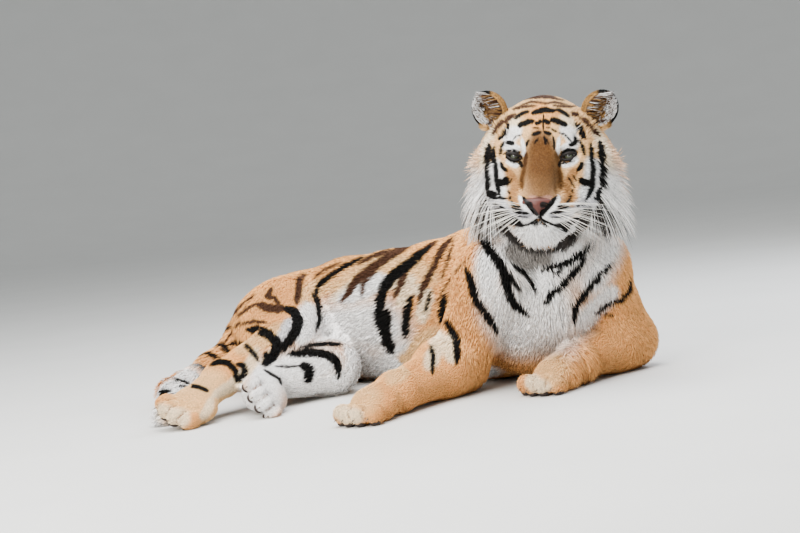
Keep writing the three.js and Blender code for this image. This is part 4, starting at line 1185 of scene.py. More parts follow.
def laySolid(tones, points, row, halfWidth, tone, soft, s=solidRow):
    # paints a row of the work frame: coverage falls off at its edge, and its width at its ends
    margin = halfWidth * 1.3
    low, high = row.min(0) - margin - soft, row.max(0) + margin + soft
    near = np.flatnonzero(np.all((points > low) & (points < high), axis=1))
    if not len(near):
        return
    p = points[near]
    steps = np.linalg.norm(np.diff(row, axis=0), axis=1)
    reached = np.concatenate([[0], np.cumsum(steps)]) / steps.sum()
    edge = np.full(len(p), -1e9)
    for a, b, first, last in zip(row, row[1:], reached, reached[1:]):
        t, distance = fromSegment(p, a, b)
        place = np.abs(2 * (first + (last - first) * t) - 1)
        edge = np.maximum(edge, halfWidth * (1 - place ** s["late"] * s["thins"]) - distance)
    edge += halfWidth * s["uneven"] * wave(p, max(halfWidth * 2.5, 9), 3)
    coverWith(tones, near, smoothStep(edge / soft + 0.5), tone)


def laySeen(tones, looked, row, halfWidth, tone, soft, reach, s=seenRow):
    # paints a marking of the view on what faces the camera near its place on the skin
    points, seen, facing = looked
    spots, hits = row
    margin = halfWidth * 1.3 + soft
    inside = np.all((seen > spots.min(0) - margin) & (seen < spots.max(0) + margin), axis=1)
    near = np.flatnonzero(inside & (facing > 0))
    if not len(near):
        return
    p = seen[near]
    edge, place = np.full(len(p), -1e9), np.zeros(len(p), int)
    last = max(len(spots) - 1, 1)
    for n, (a, b) in enumerate(zip(spots, spots[1:])):
        t, distance = fromSegment(p, a, b)
        share = np.abs(2 * (n + t) / last - 1)
        here = halfWidth * (1 - share ** s["late"] * s["thins"]) - distance
        place[here > edge] = n
        edge = np.maximum(edge, here)
    edge += halfWidth * s["uneven"] * wave(points[near], max(halfWidth * 6, 11), 3)
    apart = np.linalg.norm(points[near] - hits[place], axis=1)
    cover = smoothStep(edge / soft + 0.5) * smoothStep((reach - apart) / reach * 3) * facing[near]
    coverWith(tones, near, cover, tone)


def hiddenFrom(point, normal):
    return np.dot(normal, cameraPlace - point) < 0


def ringRow(middle, along, sway, angles, reach=420, everySide=False):
    # a stripe round a limb or the trunk, on the side that the camera doesn't see; angle 0 is level
    # and 90 is up
    along = unit(along)
    across = unit(np.cross(along, (0, 0, 1)))
    up = np.cross(across, along)
    row, rows = [], []
    for n, angle in enumerate(np.radians(angles)):
        direction = across * math.cos(angle) + up * math.sin(angle)
        start = middle + along * sway * math.sin(n * 0.7) + direction * reach
        hit, normal, _, _ = skinTree.ray_cast(start.tolist(), (-direction).tolist(), reach)
        if hit is not None and (everySide or hiddenFrom(np.array(hit), np.array(normal))):
            if row and np.linalg.norm(np.array(hit) - row[-1]) > 70:
                rows.append(row)
                row = []
            row.append(np.array(hit))
    rows.append(row)
    best = max(rows, key=len)
    return np.array(best) if len(best) > 2 else None


# stripes where the camera sees none: in mm, and degrees round the trunk or neck, from least to most
farStripes = {
    "every": 52, "twinGap": 19, "start": (96, 120), "span": (95, 165), "sway": (4, 9),
    "halfWidth": (5, 10.5),
}
limbStripes = {"span": (140, 260), "start": (-60, 60), "sway": (3, 7), "halfWidth": (0.7, 1.3)}
napeStripes = {
    "every": 46, "starts": ((-95, -70), (10, 30)), "span": (50, 85), "halfWidth": (5, 9),
    "earLeans": (28, 46, 64, 84), "earSpan": (34, 62), "earHalfWidth": (4, 7),
}


def farTrunkRows(draw, s=farStripes):
    # pairs of stripes from just over the spine down the far flank
    rows = []
    axis = [np.add(a[:3], b[:3]) / 2 for a, b in zip(back, belly[1:])]
    for a, b in zip(axis, axis[1:]):
        count = max(2, round(np.linalg.norm(b - a) / s["every"]))
        for n in range(count):
            t = (n + draw.uniform(0.3, 0.7)) / count
            start, span = draw.uniform(*s["start"]), draw.uniform(*s["span"])
            for twin in range(draw.integers(1, 3)):
                middle = a + (b - a) * t + unit(b - a) * twin * s["twinGap"]
                angles = np.arange(start - twin * 14, start - span + twin * 20, -6)
                row = ringRow(middle, b - a, draw.uniform(*s["sway"]), angles)
                rows.append((draw.uniform(*s["halfWidth"]), row, "umber" if t < 0.6 else "black"))
    return rows


def farLimbRows(draw, s=limbStripes):
    # (points, spacing, reach of the limb, half width)
    limbs = [([leg["shoulder"], leg["elbow"]], 62, 190, 8) for leg in forelegs.values()]
    limbs += [([leg["elbow"], leg["wrist"]], 70, 120, 6) for leg in forelegs.values()]
    limbs += [([leg["hip"], leg["knee"], leg["hock"]], 50, 190, 8) for leg in hindlegs.values()]
    limbs += [([leg["hock"], leg["paw"]], 60, 90, 5) for leg in hindlegs.values()]
    rows = []
    for path, every, reach, wide in limbs:
        for a, b in zip(path, path[1:]):
            along = np.subtract(b, a)
            for t in np.arange(0.12, 0.98, every / np.linalg.norm(along)):
                angles = np.arange(0, draw.uniform(*s["span"]), 8) + draw.uniform(*s["start"])
                row = ringRow(np.add(a, along * t), along, draw.uniform(*s["sway"]), angles, reach)
                rows.append((wide * draw.uniform(*s["halfWidth"]), row, "black"))
    return rows


def napeRows(draw, s=napeStripes):
    # broad bands over the back of the neck, and narrow ones behind the ears
    rows = []
    for a, b in zip(neck, neck[1:]):
        along = np.subtract(b[:3], a[:3])
        for t in np.arange(0.1, 1, s["every"] / np.linalg.norm(along)):
            middle = np.add(a[:3], along * t)
            for start in [draw.uniform(*span) for span in s["starts"]]:
                angles = np.arange(start, start + draw.uniform(*s["span"]), 6) + 90
                rows.append((draw.uniform(*s["halfWidth"]), ringRow(middle, along, 5, angles, 240), "black"))
    middle, across = np.array([0, 110, 20.0]), np.array([1.0, 0, 0])
    for lean in s["earLeans"]:
        up = math.radians(lean)
        direction = np.array([0, math.sin(up), math.cos(up)])
        for side in (-1, 1):
            row = []
            for turn in np.radians(np.arange(6, draw.uniform(*s["earSpan"]), 5)):
                ray = direction * math.cos(turn) + across * side * math.sin(turn)
                start, end = fromHead([middle + ray * 260, middle])
                row.append(np.array(rayHit(start, end)))
            rows.append((draw.uniform(*s["earHalfWidth"]), np.array(row), "black"))
    return rows


tailBands = {"first": 20.0, "spacing": 56, "halfWidth": 11}


def tailRows(s=tailBands):
    rows, reached = [], s["first"]
    for a, b in zip(tail, tail[1:]):
        along = np.subtract(b[:3], a[:3])
        length = np.linalg.norm(along)
        while reached < length:
            middle = a[:3] + along * reached / length
            row = ringRow(middle, along, 0, np.arange(0, 361, 15), a[3] + 22, everySide=True)
            rows.append((s["halfWidth"], row, "black"))
            reached += s["spacing"]
        reached -= length
    return rows


# half width in mm of the painted shade between the toes
toeShadeHalfWidth = 3.4


def toeShadeRows():
    # painted shade in the gaps between the toes, found by rays towards the middle of the paw
    rows = []
    for leg in [*forelegs.values(), *hindlegs.values()]:
        for x, y in ((-toeSpread, -48), (0, -56), (toeSpread, -48)):
            row = []
            for up in np.radians(np.arange(82, -20, -12)):
                ray = np.array([0, -math.cos(up), math.sin(up)])
                start, end = moved([(x, y, 24) + ray * 130, (x, y, 24)], pawFrame(leg))
                row.append(np.array(rayHit(start, end) or end))
            rows.append((toeShadeHalfWidth, np.array(row), "brown"))
    return rows


def hiddenRows():
    # the far side, filled with the species' pattern
    draw = np.random.default_rng(7)
    rows = farTrunkRows(draw) + farLimbRows(draw) + napeRows(draw) + tailRows()
    return [(width, row, tone) for width, row, tone in rows if row is not None]


farRows = hiddenRows()
paintedToeShade = toeShadeRows()
print("markings: ", len(farRows), "rows on the far side")

# what each stripe's half width is multiplied by, its tone, the softness of its edge in pixels, and
# how far in mm from its place on the skin it still paints
stripeLooks = (
    (flankStripes, 1.35, "umber", 2.0, 90),
    (bodyStripes, 1.25, "black", 1.3, 90),
    (crownStripes, 1.7, "umber", 1.1, 70),
    (faceStripes, 1.4, "black", 0.8, 45),
)
groundLook = {"soft": 0.7, "broadSoft": 1.2, "broadFrom": 11, "least": 1.5, "reach": 60, "reachEach": 6}


def castGroups(s=groundLook):
    # every marking that the camera sees: (row, half width, tone, softness, reach in mm), in order
    rows = []
    for name, (tone, halfWidth, *path) in ground.items():
        broad = halfWidth > s["broadFrom"] or name.startswith("bridge")
        soft = max(halfWidth * s["broadSoft" if broad else "soft"], s["least"])
        rows.append((castRow(path), halfWidth, tone, soft, s["reach"] + halfWidth * s["reachEach"]))
    for marks, spread, tone, soft, reach in stripeLooks:
        for halfWidth, *path in marks.values():
            rows.append((castRow(path), halfWidth * spread, tone, soft, reach))
    return [row for row in rows if row[0] is not None]


seenRows = castGroups()


coatPaint = {
    "cloud": 0.06, "cloudMm": 260,  # how much the orange rises and falls, and how far apart
    "groundSoft": 40, "rowSoft": 4, "toeShadeSoft": 5,  # softness of an edge, in mm
    "turnedFrom": 0.45, "turnedOver": 0.3,  # how far past side-on the camera's markings still reach
}


def coatTonesAt(points, normals, s=coatPaint):
    tones = np.tile(linear(coatTones["orange"]), (len(points), 1))
    tones *= 1 + s["cloud"] * wave(points, s["cloudMm"], 1)[:, None]
    for tone, halfWidth, row in farGround.values():
        laySolid(tones, points, np.array(row, float), halfWidth, tone, s["groundSoft"])
    for halfWidth, row, tone in farRows:
        laySolid(tones, points, row, halfWidth, tone, s["rowSoft"])
    toCamera = unit(cameraPlace - points)
    facing = smoothStep((np.sum(normals * toCamera, axis=1) + s["turnedFrom"]) / s["turnedOver"])
    looked = (points, inView(points), facing)
    for row, halfWidth, tone, soft, reach in seenRows:
        laySeen(tones, looked, row, halfWidth, tone, soft, reach)
    # the painted shade between the toes, laid over all the rest
    for halfWidth, row, tone in paintedToeShade:
        laySolid(tones, points, row, halfWidth, tone, s["toeShadeSoft"])
    return tones


def storeTones(mesh, tones):
    attribute = mesh.color_attributes.new(name="coatTone", type="FLOAT_COLOR", domain="POINT")
    attribute.data.foreach_set("color", np.column_stack([tones, np.ones(len(tones))]).ravel())


furOf = furMaterial("short_guard_hair")
skin.data.materials.clear()
skin.data.materials.append(furOf)
storeTones(skin.data, coatTonesAt(toWork(meshPoints(skin.data)), vertexNormals(skin.data)))
print("markings laid on the skin")

# the coat
coatSettings = {
    "cover": 2.0, "longCover": 2.7,  # how many tufts lie over each other
    "longFrom": 27, "headLongFrom": 12.5,  # the length in mm from which a tuft has two rings
    "most": 33000,  # tufts with one ring in a piece
    "patch": 0.003,  # each tuft's share of the unwrap
    "hair": (0.72, 1.2), "wide": (0.75, 1.2), "shade": (0.86, 1.1),  # from the least to the most
    "lie": 0.13, "astray": 0.05, "gather": {1: 0.25, 2: 0.7}, "droop": {1: 0, 2: 0.06},
}


def sowRoots(piece, densityAt, seed):
    # roots spread evenly over the piece, each with its normal and its place on the unwrap
    mesh = piece.data
    points, normals = toWork(meshPoints(mesh)), vertexNormals(mesh)
    corners, loops = trianglesOf(mesh)
    places = np.empty(len(mesh.loops) * 2)
    mesh.uv_layers["OFBake"].data.foreach_get("uv", places)
    places = places.reshape(-1, 2)
    p = points[corners]
    area = np.linalg.norm(np.cross(p[:, 1] - p[:, 0], p[:, 2] - p[:, 0]), axis=1) / 2
    reached = np.cumsum(area * densityAt(p.mean(1)))
    draw = np.random.default_rng(seed)
    count = int(reached[-1])
    chosen = np.searchsorted(reached, np.arange(count) + draw.random(count))
    chosen = np.minimum(chosen, len(corners) - 1)
    u, v = draw.random((2, count))
    over = u + v > 1
    u[over], v[over] = 1 - u[over], 1 - v[over]
    weights = np.column_stack([1 - u - v, u, v])[:, :, None]
    return {
        "at": (points[corners[chosen]] * weights).sum(1),
        "normal": unit((normals[corners[chosen]] * weights).sum(1)),
        "place": (places[loops[chosen]] * weights).sum(1),
        "draw": draw,
    }


tuftRings = {1: [0.36], 2: [0.26, 0.62], 4: [0.16, 0.4, 0.64, 0.84]}  # shares of a tuft's length
# painted shade along each tuft: darker towards its sunk root, a little lighter at its tip
paintedTuftShade = {"root": 0.8, "ring": 0.93, "more": 0.05, "tip": 1.06}


def tuftFaces(rings):
    # vertex 0 is the root, then three to a ring, then the tip
    faces = [(0, 2, 1), (0, 3, 2), (0, 1, 3)]
    for n in range(rings - 1):
        a, b = 1 + 3 * n, 4 + 3 * n
        for i, j in ((0, 1), (1, 2), (2, 0)):
            faces += [(a + i, a + j, b + j), (a + i, b + j, b + i)]
    a, tip = 3 * rings - 2, 3 * rings + 1
    return np.array(faces + [(a, a + 1, tip), (a + 1, a + 2, tip), (a + 2, a, tip)])


def tuftPatch(rings):
    # the small patch that each tuft fills round its root's place on the unwrap
    reach = np.linspace(-0.5, 0.5, rings + 2)
    middle = [(x, r) for r in reach[1:-1] for x in (-0.5, 0.5, 0.1)]
    return np.array([(0, reach[0]), *middle, (0, reach[-1])]) * coatSettings["patch"]


def tuftMesh(name, points, spots, faces):
    corners = (faces[None] + (np.arange(len(points)) * points.shape[1])[:, None, None]).reshape(-1)
    mesh = bpy.data.meshes.new(name)
    mesh.vertices.add(points.shape[0] * points.shape[1])
    mesh.vertices.foreach_set("co", toPart(points.reshape(-1, 3)).ravel())
    mesh.loops.add(len(corners))
    mesh.loops.foreach_set("vertex_index", corners)
    mesh.polygons.add(len(corners) // 3)
    mesh.polygons.foreach_set("loop_start", np.arange(0, len(corners), 3))
    mesh.polygons.foreach_set("use_smooth", np.ones(len(corners) // 3, bool))
    mesh.uv_layers.new(name="OFBake").data.foreach_set("uv", spots[corners].ravel())
    mesh.update(calc_edges=True)
    return mesh


def growTufts(name, root, lie, sizes, paint, rings=1, droop=0.0, gather=0.25, material=None):
    # closed, tapered, three sided tufts: a sunk root, rings along its bend, and a point; paint
    # gives the tone at places along each tuft, drawn in towards its middle by gather
    normal = root["normal"]
    flow = unit(lie - normal * np.sum(lie * normal, axis=1)[:, None])
    side = np.cross(flow, normal)
    hair, wide, lift = (sizes[key][:, None] for key in ("hair", "wide", "lift"))

    def along(t):
        rise = normal * hair * lift * (1.5 * t - 0.5 * t * t)
        return root["at"] + flow * hair * t * 0.96 + rise - np.array([0, 0, 1]) * droop * hair * t * t

    middles = [along(t) for t in tuftRings[rings]]
    points = [root["at"] - normal * (1.2 + hair * 0.04)]
    for t, middle in zip(tuftRings[rings], middles):
        half = wide / 2 * (1 - t**2.2)
        points += [middle - side * half, middle + side * half, middle + normal * half * 0.9]
    points = np.stack([*points, along(1.0)], axis=1)
    points[..., 2] = np.maximum(points[..., 2], 0.4)
    heart = along(0.6)
    shades = [paint(middle + (heart - middle) * gather) for middle in [*middles, along(1.0)]]
    # each tuft's tone is darkened towards its root as painted shade, and lightened a little at its tip
    tones = [shades[0] * paintedTuftShade["root"]]
    for n, shade in enumerate(shades[:-1]):
        tones += [shade * (paintedTuftShade["ring"] + paintedTuftShade["more"] * n)] * 3
    tones = np.stack([*tones, shades[-1] * paintedTuftShade["tip"]], axis=1).reshape(-1, 3)
    spots = root["place"][:, None, :] + tuftPatch(rings)
    mesh = tuftMesh(name, points, np.clip(spots.reshape(-1, 2), 0.001, 0.999), tuftFaces(rings))
    storeTones(mesh, np.clip(tones, 0, 1))
    mesh.materials.append(material or furOf)
    piece = linkMesh(name, mesh)
    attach(piece, "root")
    return piece


def bareAt(points):
    # where no hair grows: the eyes' openings, the nose, and the line of the mouth
    local = inHead(points)
    x, y, z = np.abs(local[:, 0]), local[:, 1], local[:, 2]
    across, up = (x - eyePlace[0]) / 22, (z - 1) / 11
    eyes = (across**2 + up**2 < 1) & (y < 40)
    nose = (x < 30 - np.maximum(0, -92 - z) * 0.75) & (z < -90) & (z > -128) & (y < -95)
    line = np.interp(x, [p[0] for p in mouthLine], [p[1] for p in mouthLine])
    mouth = (x < 58) & (np.abs(z - line) < 2.6) & (y < -40)
    return eyes | nose | mouth


def takeRoots(root, chosen):
    return {key: root[key][chosen] for key in ("at", "normal", "place")}


def chunked(prefix, chosen, most):
    for n, start in enumerate(range(0, len(chosen), most)):
        yield f"{prefix}_{n + 1}", chosen[start : start + most]


def painterOf(normals, astray, uneven):
    return lambda at: coatTonesAt(at + astray, normals) * uneven


def growCoat(s=coatSettings):
    def density(points):
        _, sizes = coatAt(points)
        cover = np.where(sizes["hair"] > s["longFrom"], s["longCover"], s["cover"])
        return np.where(bareAt(points), 0, cover / (0.5 * sizes["hair"] * sizes["wide"]))

    root = sowRoots(skin, density, 5)
    draw = root["draw"]
    lie, sizes = coatAt(root["at"])
    count = len(root["at"])
    lie = lie + draw.normal(0, s["lie"], (count, 3))
    for key in ("hair", "wide"):
        sizes[key] = sizes[key] * draw.uniform(*s[key], count)
    uneven = draw.uniform(*s["shade"], count)[:, None]
    astray = draw.normal(0, s["astray"], (count, 3)) * sizes["hair"][:, None]
    inFace = (inHead(root["at"])[:, 1] < 75) & (root["at"][:, 2] > 300)
    uneven = np.where(inFace[:, None], uneven**2.2, uneven)
    onHead = root["at"][:, 2] > 330
    long = sizes["hair"] > np.where(onHead, s["headLongFrom"], s["longFrom"])
    made = []
    groups = {
        "face_coat": (inFace & ~long, 1), "body_coat": (~inFace & ~long, 1), "long_coat": (long, 2),
    }
    for prefix, (chosen, rings) in groups.items():
        most = s["most"] if rings == 1 else s["most"] // 2
        for name, part in chunked(prefix, np.flatnonzero(chosen), most):
            picked = {key: value[part] for key, value in sizes.items()}
            few = takeRoots(root, part)
            paint = painterOf(few["normal"], astray[part], uneven[part])
            droop, gather = s["droop"][rings], s["gather"][rings]
            made.append(growTufts(name, few, lie[part], picked, paint, rings, droop, gather))
    print("coat:", count, "tufts in", len(made), "pieces")


growCoat()

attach(skin, "root")
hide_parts(*fleshNodes)


# eyes and lids
eyeLook = {
    "iris": "34382a", "ring": "15130d", "pupil": "080706", "white": "241a16",
    "pupilMm": 3.0, "irisMm": 9.6, "domeMm": 1.6, "raggedMm": 1.6, "ball": 0.985,
}
lidLook = {"thick": 3.1, "tear": (-9, -3.5, -6), "tone": "120f0e", "other": "1c1715", "grainMm": 1.2}


def eyeMaterial(side, centre, gaze, s=eyeLook):
    # a wet eyeball: a dark green iris with fine fibres round a small pupil, under a clear coat
    material, tree, shader = newMaterial(side + "_wet_eye")
    place = addNode(tree, "ShaderNodeTexCoord")
    fromMiddle = addNode(
        tree, "ShaderNodeVectorMath", {0: place.outputs["Object"], 1: centre}, operation="SUBTRACT"
    )
    across = addNode(
        tree, "ShaderNodeVectorMath", {0: fromMiddle.outputs["Vector"], 1: gaze}, operation="CROSS_PRODUCT"
    )
    radius = addNode(tree, "ShaderNodeVectorMath", {0: across.outputs["Vector"]}, operation="LENGTH")
    fibres = addNode(tree, "ShaderNodeTexNoise", {"Vector": place.outputs["Object"], "Scale": 700.0})
    spread = s["raggedMm"] / 1000
    ragged = addNode(
        tree, "ShaderNodeMath", {0: fibres.outputs["Fac"], 1: spread, 2: -spread / 2},
        operation="MULTIPLY_ADD",
    )
    edge = addNode(
        tree, "ShaderNodeMath", {0: radius.outputs["Value"], 1: ragged.outputs["Value"]}, operation="ADD"
    )
    share = addNode(
        tree, "ShaderNodeMapRange", {"Value": edge.outputs["Value"], "From Max": eyeRadius / 1000}
    )
    ramp = addNode(tree, "ShaderNodeValToRGB", {"Fac": share.outputs["Result"]})
    stops = [
        (0.0, "pupil"), (s["pupilMm"] / eyeRadius, "pupil"), (s["pupilMm"] / eyeRadius + 0.04, "iris"),
        (s["irisMm"] / eyeRadius - 0.1, "iris"), (s["irisMm"] / eyeRadius, "ring"), (0.68, "white"),
    ]
    colours = ramp.color_ramp.elements
    while len(colours) < len(stops):
        colours.new(0.5)
    for element, (position, tone) in zip(colours, stops):
        element.position = position
        element.color = (*linear(s[tone]), 1)
    setShader(
        shader, tree, Base_Color=ramp.outputs["Color"], Roughness=0.2,
        Coat_Weight=0.5, Coat_Roughness=0.05,
    )
    return material


def makeEye(side, sign, s=eyeLook):
    centre = fromHead([np.multiply(eyePlace, (sign, 1, 1))])[0]
    gaze = unit(cameraPlace - centre)
    bm = bmesh.new()
    bmesh.ops.create_uvsphere(bm, u_segments=48, v_segments=32, radius=eyeRadius)
    mesh = meshFrom(bm, side + "_eyeball")
    points = meshPoints(mesh)
    off = np.linalg.norm(np.cross(points, gaze), axis=1) / s["irisMm"]
    dome = np.where(points @ gaze > 0, smoothStep(1.15 - off), 0)
    points = centre + points * s["ball"] + gaze * dome[:, None] * s["domeMm"]
    setPoints(mesh, toPart(points))
    mesh.materials.append(eyeMaterial(side, toPart(centre).tolist(), gaze.tolist()))
    eye = linkMesh(side + "_eyeball", smoothed(mesh))
    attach(eye, "root")
    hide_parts(side + "_eye")


def skinMaterial(name, tone, roughness, grainMm, other):
    # bare, slightly oily skin with a fine pebbled grain, clouded from one tone to the other
    material, tree, shader = newMaterial(name)
    place = addNode(tree, "ShaderNodeTexCoord")
    grain = addNode(
        tree, "ShaderNodeTexVoronoi", {"Vector": place.outputs["Object"], "Scale": 1000 / grainMm}
    )
    cloud = addNode(tree, "ShaderNodeTexNoise", {"Vector": place.outputs["Object"], "Scale": 160.0})
    colour = mixedTone(tree, cloud.outputs["Fac"], tone, other)
    bump = addNode(
        tree, "ShaderNodeBump", {"Height": grain.outputs["Distance"], "Strength": 0.4, "Distance": 0.0005}
    )
    setShader(
        shader, tree, Base_Color=colour, Roughness=roughness,
        Specular_IOR_Level=0.2, Normal=bump.outputs["Normal"],
    )
    return material, tree, shader, colour


def tubeCurve(name, paths, radii, cyclic):
    # round tubes along smooth paths of the work frame, as one mesh
    curve = bpy.data.curves.new(name, "CURVE")
    curve.dimensions = "3D"
    curve.bevel_depth = 0.001
    curve.bevel_resolution = 3
    curve.resolution_u = 6
    curve.use_fill_caps = True
    for path, radius in zip(paths, radii):
        spline = curve.splines.new("NURBS")
        spline.points.add(len(path) - 1)
        for point, place, size in zip(spline.points, toPart(path), radius):
            point.co = (*place, 1)
            point.radius = size
        spline.order_u = 4
        spline.use_cyclic_u = cyclic
        spline.use_endpoint_u = not cyclic
    holder = bpy.data.objects.new(name, curve)
    bpy.context.scene.collection.objects.link(holder)
    evaluated = holder.evaluated_get(bpy.context.evaluated_depsgraph_get())
    mesh = bpy.data.meshes.new_from_object(evaluated)
    mesh.name = name
    bpy.data.objects.remove(holder)
    bpy.data.curves.remove(curve)
    return linkMesh(name, smoothed(mesh))


def makeLids(s=lidLook):
    # the black edge of both lids, drawn out into the tear line at the inner corner
    paths, radii = [], []
    for sign in (1, -1):
        upper, lower = lidEdge(True, 13), lidEdge(False, 13)
        inner = upper[0] + s["tear"]
        loop = np.vstack([[inner], upper, lower[-2:0:-1]])
        paths.append(fromHead(loop * (sign, 1, 1)))
        above = s["thick"] * (0.7 + 0.62 * np.sin(np.linspace(0, math.pi, 13)))
        radii.append([1.0, *above, *[s["thick"] * 0.75] * 11])
    lids = tubeCurve("lid_rims", paths, radii, True)
    material, *_ = skinMaterial("black_lid_skin", s["tone"], 0.55, s["grainMm"], s["other"])
    lids.data.materials.append(material)
    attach(lids, "root")


for side, sign in (("left", 1), ("right", -1)):
    makeEye(side, sign)
makeLids()
print("eyes and lids")

# nose
noseLook = {"pink": "54312b", "edge": "1b1413", "cloud": ("ffffff", "d8ccc8"), "grainMm": 2.0}


def makeNose(s=noseLook):
    wings = bothSides(ellipsoid((19, -114, -101), (17, 13, 12), 20))
    middle = ellipsoid((0, -119, -101), (17, 12, 13))
    foot = taper((0, -118, -104), (0, -118, -124), 11, 6)
    whole = blend(9, wings, middle, foot)
    nostril = bothSides(taper((15, -129, -103), (27, -120, -106), 5, 4))
    slit = bothSides(taper((13, -131, -105), (19, -126, -118), 3.4, 1.8))
    crease = taper((0, -132, -108), (0, -130, -126), 1.6, 1.8)
    field = carve(2, carve(2, carve(3, whole, nostril), slit), crease)
    mesh = castBlank("nose_leather", np.array([0, -108, -104.0]), field, 70, 6)
    local = meshPoints(mesh)
    tones = np.tile(linear(s["pink"]), (len(local), 1))
    hollow = smoothStep(1.2 - np.minimum(nostril(local), slit(local)) / 3.0)[:, None]
    tones = tones * (1 - hollow) + np.array(linear(s["edge"])) * hollow
    points = fromHead(local)
    setPoints(mesh, toPart(points))
    looked = (points, inView(points), np.ones(len(points)))
    for name in ("noseEdgeRight", "noseEdgeLeft", "nostrilRight", "nostrilLeft"):
        halfWidth, *path = faceStripes[name]
        laySeen(tones, looked, castRow(path), halfWidth, "black", 0.8, 60)
    storeTones(mesh, tones)
    light, dark = s["cloud"]
    material, tree, shader, cloud = skinMaterial("moist_nose_leather", light, 0.42, s["grainMm"], dark)
    tone = addNode(tree, "ShaderNodeAttribute", attribute_name="coatTone")
    both = addNode(
        tree, "ShaderNodeVectorMath", {0: tone.outputs["Color"], 1: cloud}, operation="MULTIPLY"
    )
    setShader(shader, tree, Base_Color=both.outputs["Vector"])
    mesh.materials.append(material)
    nose = linkMesh("nose_leather", smoothed(mesh))
    unwrapped(nose)
    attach(nose, "root")
    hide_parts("nose")


makeNose()
print("nose")

# ears
earLook = {
    "place": (110, 112, 66), "lean": 27, "turn": 14, "nod": 6, "voxel": 0.0026,
    "hair": 7, "wide": 1.8, "innerHair": 24, "innerWide": 1.9, "footHair": 17,
    "density": 0.2,  # tufts to a square millimetre
    "whiteShare": 0.42, "whiteShade": 0.62,
}


def earFrame(sign, s=earLook):
    # origin at the ear's foot, -y ahead out of its cup
    x, y, z = s["place"]
    return (
        headFrame
        @ Matrix.Translation((sign * x, y, z))
        @ turned(sign * s["lean"], "Y")
        @ turned(sign * s["turn"], "Z")
        @ turned(s["nod"], "X")
    )


def fromCup(x, z):
    # 0 at the middle of the ear's cup, 1 at its edge
    return np.hypot(x / 36, (z - 44) / 43)


def earTonesAt(local, sign):
    # black back with a white spot, black rim, tan edge towards the crown, deep brown cup
    x, y, z = local.T
    out = x * sign
    cup = smoothStep((1 - fromCup(x, z)) * 6) * smoothStep((2 - y) / 8)
    behind = smoothStep((y - 1) / 6) * smoothStep((z - 20) / 14)
    spot = smoothStep((16 - np.hypot(x * 0.8, z - 46)) / 5) * smoothStep((y - 4) / 4)
    rim = smoothStep((out * 0.9 + z - 44) / 16) * (1 - cup)
    tones = np.tile(linear(coatTones["earTan"]), (len(local), 1))
    for cover, tone in ((rim, "black"), (behind, "black"), (spot, "white"), (cup, "earDeep")):
        coverWith(tones, slice(None), cover, tone)
    return tones


def makeEar(side, sign, s=earLook):
    place = earFrame(sign)
    shell = blend(14, ellipsoid((0, 0, 42), (43, 21, 48)), ellipsoid((-6 * sign, 4, 2), (31, 22, 32)))
    field = placed(carve(9, shell, ellipsoid((0, -19, 44), (33, 22, 39))), place)
    ear = linkMesh(side + "_ear_skin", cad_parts[side + "_ear"].data.copy())
    ear.data.materials.clear()
    remeshed(ear, s["voxel"])
    points = eased(ear.data, toWork(meshPoints(ear.data)), 5)
    local = moved(points, place.inverted())
    low = (local[:, 0] * sign > 12) & (local[:, 2] < 18)
    near = np.abs(field(points)) < np.where(low, 22, 9)
    points[near] = settleOn(points[near], field, 1.0, 3)
    setPoints(ear.data, toPart(eased(ear.data, points, 1)))
    smoothed(ear.data)
    unwrapped(ear)
    storeTones(ear.data, earTonesAt(moved(points, place.inverted()), sign))
    ear.data.materials.append(furOf)
    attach(ear, "root")
    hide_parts(side + "_ear")
    growEarCoat(ear, side, sign, place)


def growEarCoat(ear, side, sign, place, s=earLook):
    turn = np.array(place.to_3x3())
    root = sowRoots(ear, lambda p: np.full(len(p), s["density"]), 31)
    local = moved(root["at"], place.inverted())
    x, y, z = local.T
    inner = (fromCup(x, z) < 1.0) & (y < 4)
    draw, count = root["draw"], len(local)
    edge = smoothStep((8 - x * sign) / 28)
    across = np.column_stack([sign * (0.2 + 0.7 * edge), np.full(count, -0.2), 0.9 - 0.5 * edge])
    upward = np.column_stack([x / 90, np.zeros(count), np.ones(count)])
    lie = (np.where(inner[:, None], across, upward) + draw.normal(0, 0.1, (count, 3))) @ turn.T
    foot = smoothStep((26 - z) / 20)
    outside = s["hair"] + (s["footHair"] - s["hair"]) * foot
    sizes = {
        "hair": np.where(inner, 8 + s["innerHair"] * edge, outside) * draw.uniform(0.6, 1.2, count),
        "wide": np.where(inner, s["innerWide"], s["wide"] + foot) * draw.uniform(0.8, 1.2, count),
        "lift": np.where(inner, 0.24, 0.2 + 0.3 * foot),
    }
    tones = earTonesAt(local, sign)
    sand = np.array(linear(coatTones["sand"]))
    tones = tones + (sand - tones) * smoothStep((14 - z) / 16)[:, None]
    pick = draw.random(count)
    clump = wave(local, 24, 5) * 0.9 + x * sign / 60 - 0.6 * smoothStep((26 - np.hypot(x, z - 30)) / 12)
    pale = inner & (pick < s["whiteShare"] + clump)
    tones[pale] = np.array(linear(coatTones["white"])) * s["whiteShade"]
    tones[inner & (x * sign < 12) & (pick > 0.5)] = linear(coatTones["umber"])
    tones[inner & (pick > 0.9)] = linear(coatTones["grey"])
    tones *= draw.uniform(0.75, 1.1, count)[:, None]
    growTufts(side + "_ear_coat", root, lie, sizes, lambda at: tones, 2)


for side, sign in (("left", 1), ("right", -1)):
    makeEar(side, sign)
print("ears")

# ruff and beard
ruffLook = {
    "from": 62, "to": -66,  # degrees round the hub
    "short": 24, "long": 142, "wide": 2.8, "lift": 0.2, "droop": 0.2,
    "density": 0.065,  # tufts to a square millimetre
    "dark": 0.5,  # share of dark locks low on the cheek
}
ruffHub = 66  # mm out from the middle of the head, and below its eyes
beardLook = {"hair": 34, "wide": 2.6, "lift": 0.3, "density": 0.09}


